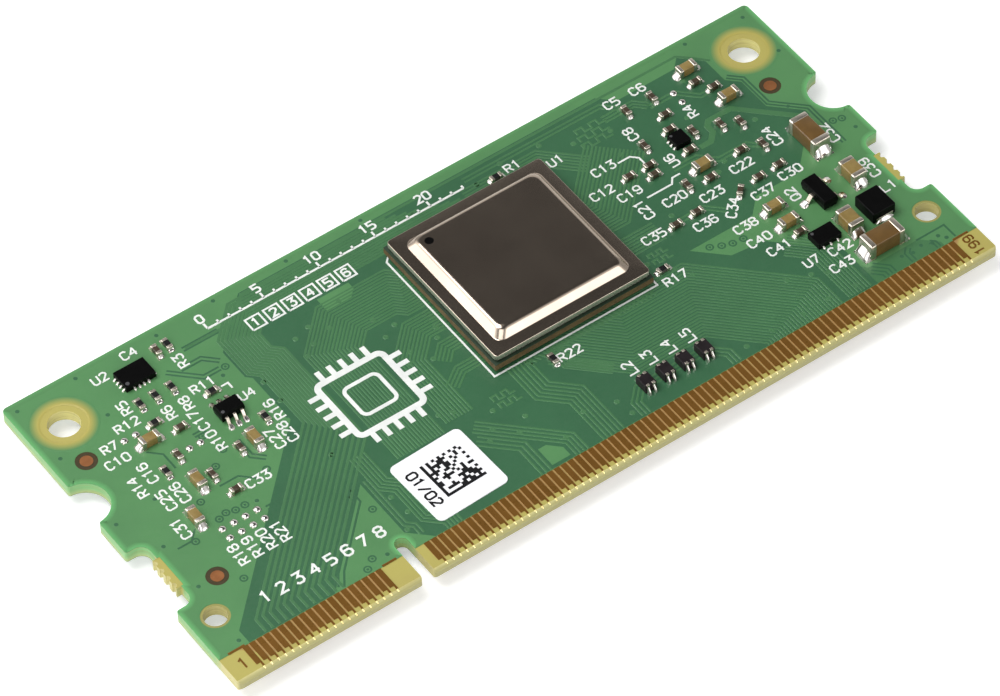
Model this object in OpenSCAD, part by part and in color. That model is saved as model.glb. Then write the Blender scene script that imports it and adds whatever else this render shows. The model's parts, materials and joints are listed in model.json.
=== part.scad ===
// Small-outline compute module: a card with an edge connector, a lidded processor,
// chip parts soldered to the top and two memory packages under the board.
// Millimetres. X runs along the contact edge, Y from that edge to the rear, Z is up.
// The origin is under the middle of the card, on the plane its packages rest on.

/* [Board] */
// Width along the contact edge
board_w = 67.6; // [66:0.2:75]
// Depth from the contact edge to the rear edge
board_d = 31; // [30:0.5:40]
// Thickness of the laminate
board_t = 1; // [0.8:0.1:1.6]
// Radius of the four outer corners
corner_r = 0.4; // [0.2:0.1:0.8]
// Thickness of the solder mask, and of the copper pads that lie in it
mask_t = 0.03; // [0.02:0.01:0.06]
// Diameter of the three copper aiming marks
fiducial_d = 1; // [0.8:0.1:1.2]
// Width of the bare ring around an aiming mark
fiducial_gap = 0.35; // [0.2:0.05:0.5]

/* [Holes and notches] */
// Diameter of the two rear mounting holes
rear_hole_d = 2.5; // [2:0.1:2.7]
// Rear hole centre to the side edge
rear_hole_side = 3; // [2.6:0.1:3.5]
// Rear hole centre to the rear edge
rear_hole_back = 3.8; // [3:0.1:4.2]
// Width of the bare laminate ring around a rear hole
rear_ring = 1.1; // [0.8:0.05:1.2]
// Diameter of the two front alignment holes
front_hole_d = 1.8; // [1.5:0.1:2]
// Front hole centre to the side edge
front_hole_side = 2; // [1.6:0.1:2.4]
// Front hole centre to the contact edge
front_hole_front = 6; // [5.5:0.1:6.4]
// Width of the bare rim around a front hole
front_rim = 0.2; // [0.18:0.01:0.3]
// Radius of the latch notch in each side edge
notch_r = 2; // [1.6:0.1:2.3]
// Latch notch centre to the contact edge
notch_y = 20; // [19:0.1:20.5]
// Rounding of the latch notch mouth
notch_soft = 0.2; // [0.2:0.1:0.8]
// Break-off recess centre to the contact edge
recess_y = 11.25; // [11:0.05:11.6]
// Length of the break-off recess
recess_l = 6.5; // [6:0.1:7]
// Depth of the break-off recess
recess_depth = 1.55; // [1.3:0.05:1.7]
// Radius of the recess corners
recess_r = 0.85; // [0.5:0.05:1.1]
// Length of the snapped tab left in the recess
stub_l = 3.1; // [2.6:0.1:3.6]
// Height of the snapped tab
stub_h = 0.4; // [0.2:0.05:0.6]
// Radius of the perforations along the snapped tab
bite_r = 0.22; // [0.15:0.01:0.28]
// Spacing of the perforations
bite_pitch = 0.8; // [0.6:0.05:1]

/* [Edge connector] */
// Spacing of the contacts
contact_pitch = 0.6; // [0.55:0.05:0.8]
// Width of a contact
contact_w = 0.45; // [0.35:0.01:0.5]
// Thickness of a contact's plating
contact_t = 0.05; // [0.04:0.01:0.1]
// Contact edge to the front end of a contact
contact_front = 0.7; // [0.5:0.05:1]
// Contact edge to the solder mask
contact_back = 2.55; // [2.2:0.05:2.9]
// Width of the plating stub ahead of a contact
tie_w = 0.15; // [0.1:0.01:0.2]
// Contact edge to the front end of the plating stub
tie_front = 0.35; // [0.31:0.01:0.45]
// Left side edge to the centre of the first contact
first_contact = 2.15; // [2:0.05:2.6]
// Sideways shift of the underside contacts
underside_shift = 0.3; // [0:0.05:0.3]
// Right side edge to the nearest place for a contact's centre
last_margin = 2.05; // [1.9:0.05:2.4]
// Left side edge to the centre of the key slot
key_x = 16.25; // [14:0.25:18]
// Width of the key slot
key_w = 1.1; // [0.9:0.05:1.3]
// Depth of the key slot to its round end
key_depth = 4; // [3.5:0.1:4.4]
// Clear distance from the key's centre to the contact before it
key_before = 2.3; // [2:0.05:3]
// Distance from the key's centre to the contact after it
key_after = 1.5; // [1.3:0.05:2]
// Rounding of the key slot's mouth
key_soft = 0.25; // [0.1:0.05:0.4]
// Length of the bevel along the contact edge
bevel_l = 0.3; // [0.1:0.05:0.3]
// Height of that bevel on each face
bevel_h = 0.25; // [0.1:0.05:0.35]

/* [Processor] */
// Processor centre to the middle of the card
cpu_x = 4.15; // [3:0.05:5]
// Processor centre to the contact edge
cpu_y = 19.45; // [18.5:0.05:20]
// Width of the square substrate
cpu_w = 14.3; // [13.6:0.1:14.6]
// Thickness of the substrate
cpu_t = 0.55; // [0.4:0.05:0.8]
// Height of the solder balls under it
cpu_ball_h = 0.35; // [0.25:0.05:0.45]
// Largest diameter of a processor ball
cpu_ball_d = 0.45; // [0.35:0.01:0.5]
// Spacing of the processor balls
cpu_ball_pitch = 0.65; // [0.6:0.05:0.7]
// Width of the square silicon die
die_w = 7.6; // [6:0.1:8.5]
// Height of the die with its bumps
die_t = 0.78; // [0.7:0.02:0.9]
// Thickness of the paste between die and lid
paste_t = 0.16; // [0.1:0.02:0.25]
// Thickness of the lid's sheet
lid_sheet = 0.5; // [0.4:0.05:0.6]
// Step from the edge of the substrate to the edge of the lid
lid_step = 0.17; // [0.1:0.01:0.25]
// Width of the lid's flat crown
crown_w = 11.05; // [10.6:0.05:11.2]
// Sideways run of the crown's sloped wall
crown_run = 0.5; // [0.4:0.02:0.55]
// Radius of the crown's corners
crown_r = 0.7; // [0.5:0.05:1]
// Radius of the flange's corners
flange_r = 0.3; // [0.2:0.05:0.5]
// Bend radius where the sheet turns
lid_bend = 0.18; // [0.1:0.02:0.2]
// Thickness of the adhesive under the lid's flange
adhesive_t = 0.2; // [0.1:0.05:0.3]
// Width of the adhesive bead
bead_w = 0.9; // [0.6:0.05:1]

/* [Underside packages] */
// Width of the memory package along the card
mem_w = 10; // [9:0.1:11]
// Depth of the memory package
mem_d = 11.5; // [10:0.1:12]
// Memory centre to the middle of the card
mem_x = 16.7; // [16:0.1:18]
// Memory centre to the contact edge
mem_y = 16.5; // [15:0.1:18]
// Width of the flash package along the card
flash_w = 11.5; // [10.5:0.1:12]
// Depth of the flash package
flash_d = 13; // [12:0.1:13.5]
// Flash centre to the middle of the card, on the other side
flash_x = 14.3; // [13.5:0.1:16]
// Flash centre to the contact edge
flash_y = 16; // [15:0.1:17]
// Height of the solder balls under both packages
pack_ball_h = 0.25; // [0.2:0.05:0.35]
// Largest diameter of a package ball
pack_ball_d = 0.34; // [0.28:0.01:0.38]
// Thickness of both package laminates
pack_t = 0.2; // [0.15:0.05:0.3]
// Thickness of the moulding over both packages
mould_t = 0.55; // [0.45:0.05:0.8]

/* [Chip capacitors and resistors] */
// Length of a small capacitor
cap_s_l = 1; // [0.9:0.05:1.1]
// Width of a small capacitor
cap_s_w = 0.5; // [0.4:0.05:0.6]
// Height of a small capacitor
cap_s_h = 0.5; // [0.4:0.05:0.6]
// Length of a medium capacitor
cap_m_l = 1.6; // [1.5:0.05:1.7]
// Width of a medium capacitor
cap_m_w = 0.8; // [0.7:0.05:0.9]
// Height of a medium capacitor
cap_m_h = 0.8; // [0.7:0.05:0.9]
// Length of a large capacitor
cap_l_l = 2; // [1.9:0.05:2.1]
// Width of a large capacitor
cap_l_w = 1.25; // [1.1:0.05:1.35]
// Height of a large capacitor
cap_l_h = 1.2; // [1:0.05:1.35]
// Length of a bulk capacitor
cap_b_l = 3.2; // [3:0.1:3.4]
// Width of a bulk capacitor
cap_b_w = 1.55; // [1.4:0.05:1.7]
// Height of a bulk capacitor
cap_b_h = 1.45; // [1.2:0.05:1.6]
// Thickness of the plated ends
end_t = 0.03; // [0.02:0.01:0.05]
// Length of a resistor
res_l = 1; // [0.9:0.05:1.1]
// Width of a resistor
res_w = 0.5; // [0.4:0.05:0.6]
// Height of a resistor
res_h = 0.36; // [0.3:0.02:0.45]
// Thickness of a resistor's black overcoat
film_t = 0.04; // [0.02:0.01:0.06]
// Width of an empty square pad
bare_pad_w = 0.5; // [0.4:0.05:0.6]
// Height of the solder dome on an empty pad
dome_h = 0.14; // [0.08:0.02:0.2]

/* [Chips and coils] */
// Width of the leadless interface chip
port_w = 2.6; // [2.4:0.05:2.8]
// Depth of the leadless interface chip
port_d = 1.8; // [1.7:0.05:2]
// Width of the square buffer chip
buffer_w = 1.3; // [1.2:0.05:1.35]
// Width of the regulator chip
reg_w = 2.1; // [1.9:0.05:2.2]
// Depth of the regulator chip
reg_d = 1.45; // [1.3:0.05:1.5]
// Height of the leadless chips
leadless_h = 0.55; // [0.45:0.05:0.7]
// Width of the six-lead gate chip
gate_w = 2; // [1.9:0.05:2.2]
// Depth of the gate chip's body
gate_d = 1.25; // [1.1:0.05:1.4]
// Height of the gate chip above the board
gate_h = 0.95; // [0.8:0.05:1.1]
// Width of the transistor's body between its leads
fet_w = 1.3; // [1.2:0.05:1.4]
// Length of the transistor's body
fet_d = 2.9; // [2.8:0.05:3]
// Height of the transistor above the board
fet_h = 1; // [0.9:0.05:1.1]
// Reach of the gate chip's bent leads from its body
lead_reach = 0.65; // [0.5:0.05:0.7]
// Reach of the transistor's bent leads from its body
fet_reach = 0.7; // [0.55:0.05:0.75]
// Thickness of the bent leads
lead_t = 0.13; // [0.1:0.01:0.16]
// Width of the power coil
coil_w = 2.05; // [1.9:0.05:2.2]
// Length of the power coil between its terminals
coil_d = 2.3; // [2.2:0.05:2.4]
// Height of the power coil
coil_h = 1.1; // [0.9:0.05:1.3]
// Width of a signal filter
filter_w = 1; // [0.9:0.05:1.1]
// Length of a signal filter
filter_d = 1.25; // [1.1:0.05:1.4]
// Height of a signal filter
filter_h = 0.82; // [0.7:0.02:0.95]
// Spacing of the four signal filters
filter_pitch = 1.75; // [1.6:0.05:1.9]

/* [Label] */
// Width of the square label
label_w = 6.3; // [5.5:0.1:6.6]
// Thickness of the label
label_t = 0.08; // [0.05:0.01:0.15]
// Corner radius of the label
label_r = 0.5; // [0.2:0.1:1]

/* [Hidden] */
$fn = 48;
front_y = -board_d / 2;
underside_z = mask_t + pack_ball_h + pack_t + mould_t;
board_top = underside_z + board_t;
top_z = board_top + mask_t;
low_z = underside_z - mask_t;
over = 0.5;
cut = 0.01;

// Levels of the processor's stack above the card
cpu_z = top_z + cpu_ball_h;
die_z = cpu_z + cpu_t;
paste_z = die_z + die_t;
flange_z = die_z + adhesive_t;
flange_top = flange_z + lid_sheet;
lid_top = paste_z + paste_t + lid_sheet;
lid_w = cpu_w - 2 * lid_step;
// Hollow under the lid, and the adhesive bead: outer width, inner width and vent
cavity_w = crown_w + 2 * crown_run - lid_sheet;
bead_step = 0.15;
bead_out = lid_w - 2 * bead_step;
bead_in = bead_out - 2 * bead_w;
vent_w = 1.2;
// Points on each corner of the lid's rings
lid_steps = 8;

// Solder balls: clear edge of each package, rows and rings
cpu_ball_edge = 0.8;
cpu_ball_rows = floor((cpu_w - 2 * cpu_ball_edge) / cpu_ball_pitch) + 1;
cpu_ball_rings = 4;
mem_ball_edge = 1;
mem_ball_pitch = 0.7;
mem_ball_columns = floor((mem_w - 2 * mem_ball_edge) / mem_ball_pitch) + 1;
mem_ball_rows = floor((mem_d - 2 * mem_ball_edge) / mem_ball_pitch) + 1;
mem_ball_rings = 2;
flash_ball_pitch = 0.5;
flash_ball_rows = 14;
flash_ball_rings = 3;

// Lengths of plated ends, and legs of the solder fillets, from small parts to large
end_s = 0.26;
end_m = 0.36;
end_l = 0.45;
end_b = 0.55;
fillet_s = 0.24;
fillet_m = 0.36;
fillet_l = 0.4;
fillet_b = 0.48;
fillet_lead = 0.12;
fillet_toe = 0.2;
fillet_filter = 0.3;
small_edge = 0.05;
large_edge = 0.09;

// Leads of the leadless chips: length, width, height and how far they stand out
land_l = 0.3;
land_w = 0.2;
land_h = 0.14;
land_out = 0.06;
land_pitch = 0.4;
reg_pitch = 0.65;
lead_w = 0.25;
lead_foot = 0.26;
gate_pitch = 0.65;
fet_lead_w = 0.4;
fet_pitch = 1.9;
coil_term_t = 0.06;
coil_term_w = 1.5;
coil_term_h = 0.45;
coil_term_l = 0.55;
filter_term_w = 0.24;
filter_term_l = 0.18;
filter_term_x = 0.25;
pad_margin = 0.05;
// Moulded chips: gap under the body, and height at which their leads come out
body_stand = 0.05;
gate_lead_h = (gate_h + body_stand) / 2;
fet_lead_h = (fet_h + body_stand) / 2;

small_cap = [cap_s_l, cap_s_w, cap_s_h];
medium_cap = [cap_m_l, cap_m_w, cap_m_h];
large_cap = [cap_l_l, cap_l_w, cap_l_h];
bulk_cap = [cap_b_l, cap_b_w, cap_b_h];
resistor = [res_l, res_w, res_h];

// Places on the card: distance from a side edge, or from the middle, distance from the
// contact edge, and the turn of the part
function from_left(rows) = [for (r = rows) [r[0] - board_w / 2, front_y + r[1], r[2]]];
function from_right(rows) = [for (r = rows) [board_w / 2 - r[0], front_y + r[1], r[2]]];
function from_middle(rows) = [for (r = rows) [r[0], front_y + r[1], r[2]]];
function from_cpu(rows) = [for (r = rows) [cpu_x + r[0], front_y + cpu_y + r[1], r[2]]];

small_cap_places = concat(
    from_left([
        [12.1, 28.8, 90], [9.5, 21.7, 0], [7.9, 19.6, 90],
        [11.9, 17.55, 90], [8.9, 16.65, 90], [9.5, 14.5, 0],
    ]),
    from_right([
        [14, 27.3, 90], [11.6, 27.3, 90], [8.05, 26.6, 0], [7.2, 25.4, 0],
        [11.85, 25.3, 0], [12.5, 23.85, 0], [15, 23.65, 90], [11.2, 22.65, 90],
        [12.5, 21.3, 0], [9.1, 22, 90], [7.75, 21.3, 90], [15.85, 21.85, 0],
        [16.1, 20.9, 0], [17.75, 21.85, 0], [14.8, 18.55, 90], [12.9, 18.15, 0],
        [9.45, 19, 0], [7.75, 18.5, 90], [17.8, 15.9, 0], [15.8, 16, 0],
        [11.95, 15.75, 45], [10, 16.05, 0], [8.05, 16.15, 0], [10.85, 9.85, 0],
    ])
);
medium_cap_places = concat(
    from_left([[7, 21.95, 0], [13.2, 17.6, 90], [7.7, 16.75, 90], [5.7, 14.05, 90]]),
    from_right([
        [7.85, 28, 0], [6.9, 23.95, 0], [12.7, 19.45, 0], [11, 12.9, 0], [11, 11.1, 0],
    ])
);
large_cap_places = from_right([[4.3, 12.05, 90], [7.45, 8.3, 90]]);
bulk_cap_places = from_right([[4.65, 16.85, 90], [6.7, 5.35, 0]]);
resistor_places = concat(
    from_left([
        [13.1, 28.9, 90], [8.35, 25.3, 90], [9.7, 25.3, 90], [11.1, 25.3, 90],
        [8.25, 23.2, 0], [13.25, 23.2, 0], [6.4, 18.9, 90], [15, 18.9, 90],
    ]),
    from_cpu([[3.95, 8.35, 0], [8.5, -6.45, 0], [-3.05, -8.6, 90]])
);
bare_pad_places = concat(
    from_left([[5.6, 23.2, 0], [6.6, 23.2, 0], [9, 19.8, 0], [9.95, 19.8, 0]]),
    from_left([for (column = [0:3], row = [0:1]) [6.75 + column, 11.2 + row, 0]]),
    from_right([[9.95, 26.8, 0], [9.95, 25.7, 0]])
);
port_place = from_left([[9.55, 27.8, 0]]);
buffer_place = from_right([[12.55, 22.6, 0]]);
reg_place = from_right([[9.65, 8.45, 0]]);
gate_place = from_left([[13.2, 20.9, 0]]);
fet_place = from_right([[7.45, 11.95, 0]]);
coil_place = from_right([[4.95, 8.45, 0]]);
filter_places = from_middle([for (i = [0:3]) [5.1 + i * filter_pitch, 4.85, 0]]);
fiducial_places = concat(
    from_left([[2.4, 23.3, 0], [4.1, 8.9, 0]]),
    from_right([[3.6, 23.1, 0]])
);
label_place = from_middle([[-11.2, 6.6, 2]]);
cpu_place = from_cpu([[0, 0, 0]]);
mem_place = from_middle([[mem_x, mem_y, 0]]);
flash_place = from_middle([[-flash_x, flash_y, 0]]);
// Capacitor bank on the underside, behind the processor
bank_pitch_x = 2.1;
bank_pitch_y = 2.2;
bank_shift = -2;
bank_places = from_cpu([for (i = [-2:2], j = [-2:2]) [i * bank_pitch_x + bank_shift, j * bank_pitch_y, 0]]);

rear_hole_places = [for (s = [-1, 1]) [s * (board_w / 2 - rear_hole_side), board_d / 2 - rear_hole_back, 0]];
front_hole_places = [for (s = [-1, 1]) [s * (board_w / 2 - front_hole_side), front_y + front_hole_front, 0]];

// Contacts fill each side of the key at the set spacing
left_x = first_contact - board_w / 2;
key_mid = key_x - board_w / 2;
left_count = floor((key_x - key_before - first_contact) / contact_pitch) + 1;
right_count = floor((board_w - last_margin - underside_shift - key_x - key_after) / contact_pitch) + 1;
contact_xs = concat(
    [for (i = [0:left_count - 1]) left_x + i * contact_pitch],
    [for (i = [0:right_count - 1]) key_mid + key_after + i * contact_pitch]
);

// Shapes that repeat

module place(rows, z = 0) {
    for (r = rows)
        translate([r[0], r[1], z]) rotate(r[2]) children();
}

// Turns a part over onto the underside
module hang() {
    translate([0, 0, low_z]) mirror([0, 0, 1]) children();
}

module rounded_rect(w, d, r) {
    square([w - 2 * r, d], center = true);
    square([w, d - 2 * r], center = true);
    for (x = [-1, 1], y = [-1, 1])
        translate([x * (w / 2 - r), y * (d / 2 - r)]) circle(r);
}

module block(w, d, h, r) {
    linear_extrude(h) rounded_rect(w, d, r);
}

// The waste of a rounded outer corner: the corner is at the origin, the material in +X +Y
module corner_waste(r) {
    difference() {
        translate([-cut, -cut]) square(r + cut);
        translate([r, r]) circle(r);
    }
}

// A concave fillet of solder, its tall side against X = 0 and its foot on Z = 0
module solder_fillet(w, leg) {
    blunt = 1.06;
    rotate([90, 0, 0])
        linear_extrude(w, center = true)
            difference() {
                square(leg);
                translate([leg * blunt, leg * blunt]) circle(leg);
            }
}

// Ball of solder squashed between two faces
module ball(d, h) {
    intersection() {
        translate([0, 0, h / 2]) sphere(d = d);
        translate([-d, -d, 0]) cube([2 * d, 2 * d, h]);
    }
}

// Rings of balls under a package: count each way, how many rings deep, spacing
module ball_rings(count, rings, pitch) {
    last = [count[0] - 1, count[1] - 1];
    for (i = [0:last[0]], j = [0:last[1]])
        if (min(i, last[0] - i, j, last[1] - j) < rings)
            translate([(i - last[0] / 2) * pitch, (j - last[1] / 2) * pitch, 0]) children();
}

// Chip parts with two plated ends

module chip_core(size, edge) {
    translate([0, 0, end_t])
        block(size[0] - 2 * end_t, size[1] - 2 * end_t, size[2] - 2 * end_t, edge);
}

module chip_ends(size, end, edge) {
    for (s = [0, 180])
        rotate(s)
            difference() {
                intersection() {
                    block(size[0], size[1], size[2], edge + end_t);
                    translate([size[0] / 2 - end, -size[1], -cut])
                        cube([size[0], 2 * size[1], size[2] + 2 * cut]);
                }
                chip_core(size, edge);
            }
}

module chip_fillets(size, leg) {
    for (s = [0, 180])
        rotate(s) translate([size[0] / 2, 0, 0]) solder_fillet(size[1] - 2 * small_edge, leg);
}

module chip_pads(size, end, leg) {
    for (s = [-1, 1])
        translate([s * (size[0] / 2 + (leg - end) / 2), 0])
            square([end + leg, size[1]], center = true);
}

// Leadless chips: lands on the two long sides, the two short sides, or both

module lands(w, d, nx, ny, pitch) {
    for (s = [0, 180]) {
        if (nx > 0)
            for (i = [0:nx - 1])
                rotate(s) translate([(i - (nx - 1) / 2) * pitch - land_w / 2, d / 2 - land_l, 0])
                    cube([land_w, land_l + land_out, land_h]);
        if (ny > 0)
            for (i = [0:ny - 1])
                rotate(s) translate([w / 2 - land_l, (i - (ny - 1) / 2) * pitch - land_w / 2, 0])
                    cube([land_l + land_out, land_w, land_h]);
    }
}

module land_pads(w, d, nx, ny, pitch) {
    reach = land_l + land_out + fillet_lead;
    for (s = [0, 180]) {
        if (nx > 0)
            for (i = [0:nx - 1])
                rotate(s) translate([(i - (nx - 1) / 2) * pitch - land_w / 2, d / 2 - land_l])
                    square([land_w, reach]);
        if (ny > 0)
            for (i = [0:ny - 1])
                rotate(s) translate([w / 2 - land_l, (i - (ny - 1) / 2) * pitch - land_w / 2])
                    square([reach, land_w]);
    }
}

module land_fillets(w, d, nx, ny, pitch) {
    for (s = [0, 180]) {
        if (nx > 0)
            for (i = [0:nx - 1])
                rotate(s) translate([(i - (nx - 1) / 2) * pitch, d / 2 + land_out, 0])
                    rotate(90) solder_fillet(land_w, fillet_lead);
        if (ny > 0)
            for (i = [0:ny - 1])
                rotate(s) translate([w / 2 + land_out, (i - (ny - 1) / 2) * pitch, 0])
                    solder_fillet(land_w, fillet_lead);
    }
}

module leadless_body(w, d, nx, ny, pitch) {
    difference() {
        block(w, d, leadless_h, small_edge);
        lands(w, d, nx, ny, pitch);
    }
}

// Bent lead that leaves a body at X = 0 and stands on Z = 0
module bent_lead(w, h, reach) {
    knee = 0.1;
    foot = reach - lead_foot;
    rotate([90, 0, 0])
        linear_extrude(w, center = true)
            polygon([
                [0, h], [knee, h], [foot, 0], [reach, 0], [reach, lead_t],
                [foot + lead_t / 2, lead_t], [knee + lead_t / 2, h + lead_t], [0, h + lead_t],
            ]);
}

// Moulded body with sides that draft in above and below the leads
module moulded_body(w, d, h, stand) {
    mid = (h + stand) / 2;
    draft = 0.07;
    intersection() {
        rotate([90, 0, 0])
            linear_extrude(d + 2 * cut, center = true)
                polygon([
                    [-w / 2 + draft, stand], [w / 2 - draft, stand], [w / 2, mid], [w / 2, mid + lead_t],
                    [w / 2 - draft, h], [-w / 2 + draft, h], [-w / 2, mid + lead_t], [-w / 2, mid],
                ]);
        rotate([90, 0, 90])
            linear_extrude(w + 2 * cut, center = true)
                polygon([
                    [-d / 2 + draft, stand], [d / 2 - draft, stand], [d / 2, mid], [d / 2, mid + lead_t],
                    [d / 2 - draft, h], [-d / 2 + draft, h], [-d / 2, mid + lead_t], [-d / 2, mid],
                ]);
    }
}

// Frames for each bent lead: the gate chip has three on both long sides, the transistor one and two
module gate_leads_at() {
    for (s = [0, 180], i = [-1:1])
        rotate(s) translate([i * gate_pitch, gate_d / 2, 0]) rotate(90) children();
}

module fet_leads_at() {
    rotate(180) translate([fet_w / 2, 0, 0]) children();
    for (s = [-1, 1]) translate([fet_w / 2, s * fet_pitch / 2, 0]) children();
}

module lead_pad(w, reach) {
    translate([reach - lead_foot, -w / 2]) square([lead_foot + fillet_toe + pad_margin, w]);
}

module filter_terms_at() {
    for (s = [0, 180], x = [-1, 1])
        rotate(s) translate([x * filter_term_x, filter_d / 2, 0]) rotate(90) children();
}

// Outline of the card

// Round latch notch with a softened mouth, its centre on the edge X = 0 and the card in +X
module latch_notch() {
    soft_y = sqrt(pow(notch_r + notch_soft, 2) - pow(notch_soft, 2));
    circle(notch_r);
    for (m = [0, 1])
        mirror([0, m])
            difference() {
                polygon([[-over, 0], [-over, soft_y], [notch_soft, soft_y]]);
                translate([notch_soft, soft_y]) circle(notch_soft);
            }
}

// Recess where a tab held the card in its panel, with the snapped stub left in its floor
module tab_recess() {
    difference() {
        union() {
            translate([-over, -recess_l / 2]) square([over + recess_depth - recess_r, recess_l]);
            translate([-over, -recess_l / 2 + recess_r])
                square([over + recess_depth, recess_l - 2 * recess_r]);
            for (s = [-1, 1])
                translate([recess_depth - recess_r, s * (recess_l / 2 - recess_r)]) circle(recess_r);
        }
        difference() {
            translate([recess_depth - stub_h, -stub_l / 2]) square([stub_h + over, stub_l]);
            for (i = [-1.5:1.5])
                translate([recess_depth - stub_h, i * bite_pitch]) circle(bite_r);
        }
    }
    for (m = [0, 1])
        mirror([0, m]) translate([0, recess_l / 2]) corner_waste(notch_soft);
}

module key_slot() {
    slot_l = key_depth - key_w / 2;
    translate([-key_w / 2, -over]) square([key_w, slot_l + over]);
    translate([0, slot_l]) circle(key_w / 2);
    for (m = [0, 1])
        mirror([m, 0]) translate([key_w / 2, 0]) corner_waste(key_soft);
}

module side_edges() {
    for (m = [0, 1])
        mirror([m, 0]) translate([-board_w / 2, front_y]) children();
}

module board_outline() {
    difference() {
        square([board_w, board_d], center = true);
        for (x = [0, 1], y = [0, 1])
            mirror([x, 0]) mirror([0, y]) translate([-board_w / 2, -board_d / 2]) corner_waste(corner_r);
        side_edges() translate([0, notch_y]) latch_notch();
        side_edges() translate([0, recess_y]) tab_recess();
        translate([key_mid, front_y]) key_slot();
    }
}

// Everything that the solder mask leaves bare, apart from the pads
module bare_areas() {
    translate([-board_w, front_y - over]) square([2 * board_w, over + contact_back]);
    place(rear_hole_places) circle(d = rear_hole_d + 2 * rear_ring);
    place(front_hole_places) circle(d = front_hole_d + 2 * front_rim);
    side_edges() translate([0, recess_y - stub_l / 2]) square([recess_depth + front_rim, stub_l]);
}

module pads_top() {
    place(small_cap_places) chip_pads(small_cap, end_s, fillet_s);
    place(medium_cap_places) chip_pads(medium_cap, end_m, fillet_m);
    place(large_cap_places) chip_pads(large_cap, end_l, fillet_l);
    place(bulk_cap_places) chip_pads(bulk_cap, end_b, fillet_b);
    place(resistor_places) chip_pads(resistor, end_s, fillet_s);
    place(bare_pad_places) square(bare_pad_w, center = true);
    place(port_place) land_pads(port_w, port_d, 4, 4, land_pitch);
    place(buffer_place) land_pads(buffer_w, buffer_w, 0, 3, land_pitch);
    place(reg_place) land_pads(reg_w, reg_d, 3, 0, reg_pitch);
    place(gate_place) gate_leads_at() lead_pad(lead_w, lead_reach);
    place(fet_place) fet_leads_at() lead_pad(fet_lead_w, fet_reach);
    place(coil_place)
        for (s = [-1, 1])
            translate([0, s * (coil_d / 2 + (coil_term_t + fillet_lead - coil_term_l) / 2)])
                square([coil_term_w, coil_term_l + coil_term_t + fillet_lead], center = true);
    place(filter_places)
        filter_terms_at()
            translate([-filter_term_l, -filter_term_w / 2])
                square([filter_term_l + fillet_filter, filter_term_w]);
}

module pads_bottom() {
    place(bank_places) chip_pads(small_cap, end_s, fillet_s);
}

// One node for each kind of piece

module circuit_board() {
    color("#beb45f")
        difference() {
            translate([0, 0, underside_z]) linear_extrude(board_t) board_outline();
            place(rear_hole_places, underside_z - over) cylinder(d = rear_hole_d, h = board_t + 2 * over);
            place(front_hole_places, underside_z - over) cylinder(d = front_hole_d, h = board_t + 2 * over);
            translate([0, front_y, underside_z])
                rotate([90, 0, 90])
                    linear_extrude(2 * board_w, center = true) {
                        polygon([
                            [-over, -over], [bevel_l, -over], [bevel_l, 0],
                            [0, bevel_h], [-over, bevel_h],
                        ]);
                        polygon([
                            [-over, board_t + over], [bevel_l, board_t + over], [bevel_l, board_t],
                            [0, board_t - bevel_h], [-over, board_t - bevel_h],
                        ]);
                    }
        }
}

module solder_mask_top() {
    color("#5f9a66")
        translate([0, 0, board_top])
            linear_extrude(mask_t)
                difference() {
                    board_outline();
                    bare_areas();
                    place(fiducial_places) circle(d = fiducial_d + 2 * fiducial_gap);
                    pads_top();
                }
}

module solder_mask_bottom() {
    color("#5f9a66")
        translate([0, 0, low_z])
            linear_extrude(mask_t)
                difference() {
                    board_outline();
                    bare_areas();
                    pads_bottom();
                }
}

module contact_row(xs) {
    for (x = xs)
        translate([x, front_y]) {
            translate([-contact_w / 2, contact_front]) square([contact_w, contact_back - contact_front]);
            translate([contact_w / 2 - tie_w, tie_front]) square([tie_w, contact_front - tie_front + cut]);
        }
}

module edge_contacts_top() {
    color("#8a6426")
        translate([0, 0, board_top]) linear_extrude(contact_t) contact_row(contact_xs);
}

module edge_contacts_bottom() {
    color("#8a6426")
        translate([0, 0, underside_z - contact_t])
            linear_extrude(contact_t) contact_row([for (x = contact_xs) x + underside_shift]);
}

module fiducial_marks() {
    color("#a5553a")
        place(fiducial_places, board_top) cylinder(d = fiducial_d, h = mask_t);
}

module copper_pads_top() {
    color("#b87a4a")
        translate([0, 0, board_top]) linear_extrude(mask_t) pads_top();
}

module copper_pads_bottom() {
    color("#b87a4a")
        translate([0, 0, low_z]) linear_extrude(mask_t) pads_bottom();
}

module processor_balls() {
    color("#c8c8cc")
        place(cpu_place, top_z)
            ball_rings([cpu_ball_rows, cpu_ball_rows], cpu_ball_rings, cpu_ball_pitch)
                ball(cpu_ball_d, cpu_ball_h);
}

module processor_substrate() {
    color("#7d6a42")
        place(cpu_place, cpu_z) block(cpu_w, cpu_w, cpu_t, small_edge);
}

module processor_die() {
    color("#50555c")
        place(cpu_place, die_z) block(die_w, die_w, die_t, small_edge);
}

module processor_paste() {
    color("#d8d8d8")
        place(cpu_place, paste_z) block(die_w, die_w, paste_t, small_edge);
}

// The adhesive bead follows the flange and leaves a vent at the rear
module processor_lid_adhesive() {
    color("#b9b5a8")
        place(cpu_place, die_z)
            linear_extrude(adhesive_t)
                difference() {
                    rounded_rect(bead_out, bead_out, crown_r);
                    rounded_rect(bead_in, bead_in, crown_r);
                    translate([-vent_w / 2, 0]) square([vent_w, lid_w]);
                }
}

// Ring of a square with rounded corners, half a width from its centre to each side
function square_ring(half, r, z) = [
    for (q = [0:3], i = [0:lid_steps])
        let (a = 90 * q + 90 * i / lid_steps, c = half - r)
            [
                (q == 0 || q == 3 ? c : -c) + r * cos(a),
                (q < 2 ? c : -c) + r * sin(a),
                z,
            ]
];

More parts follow.
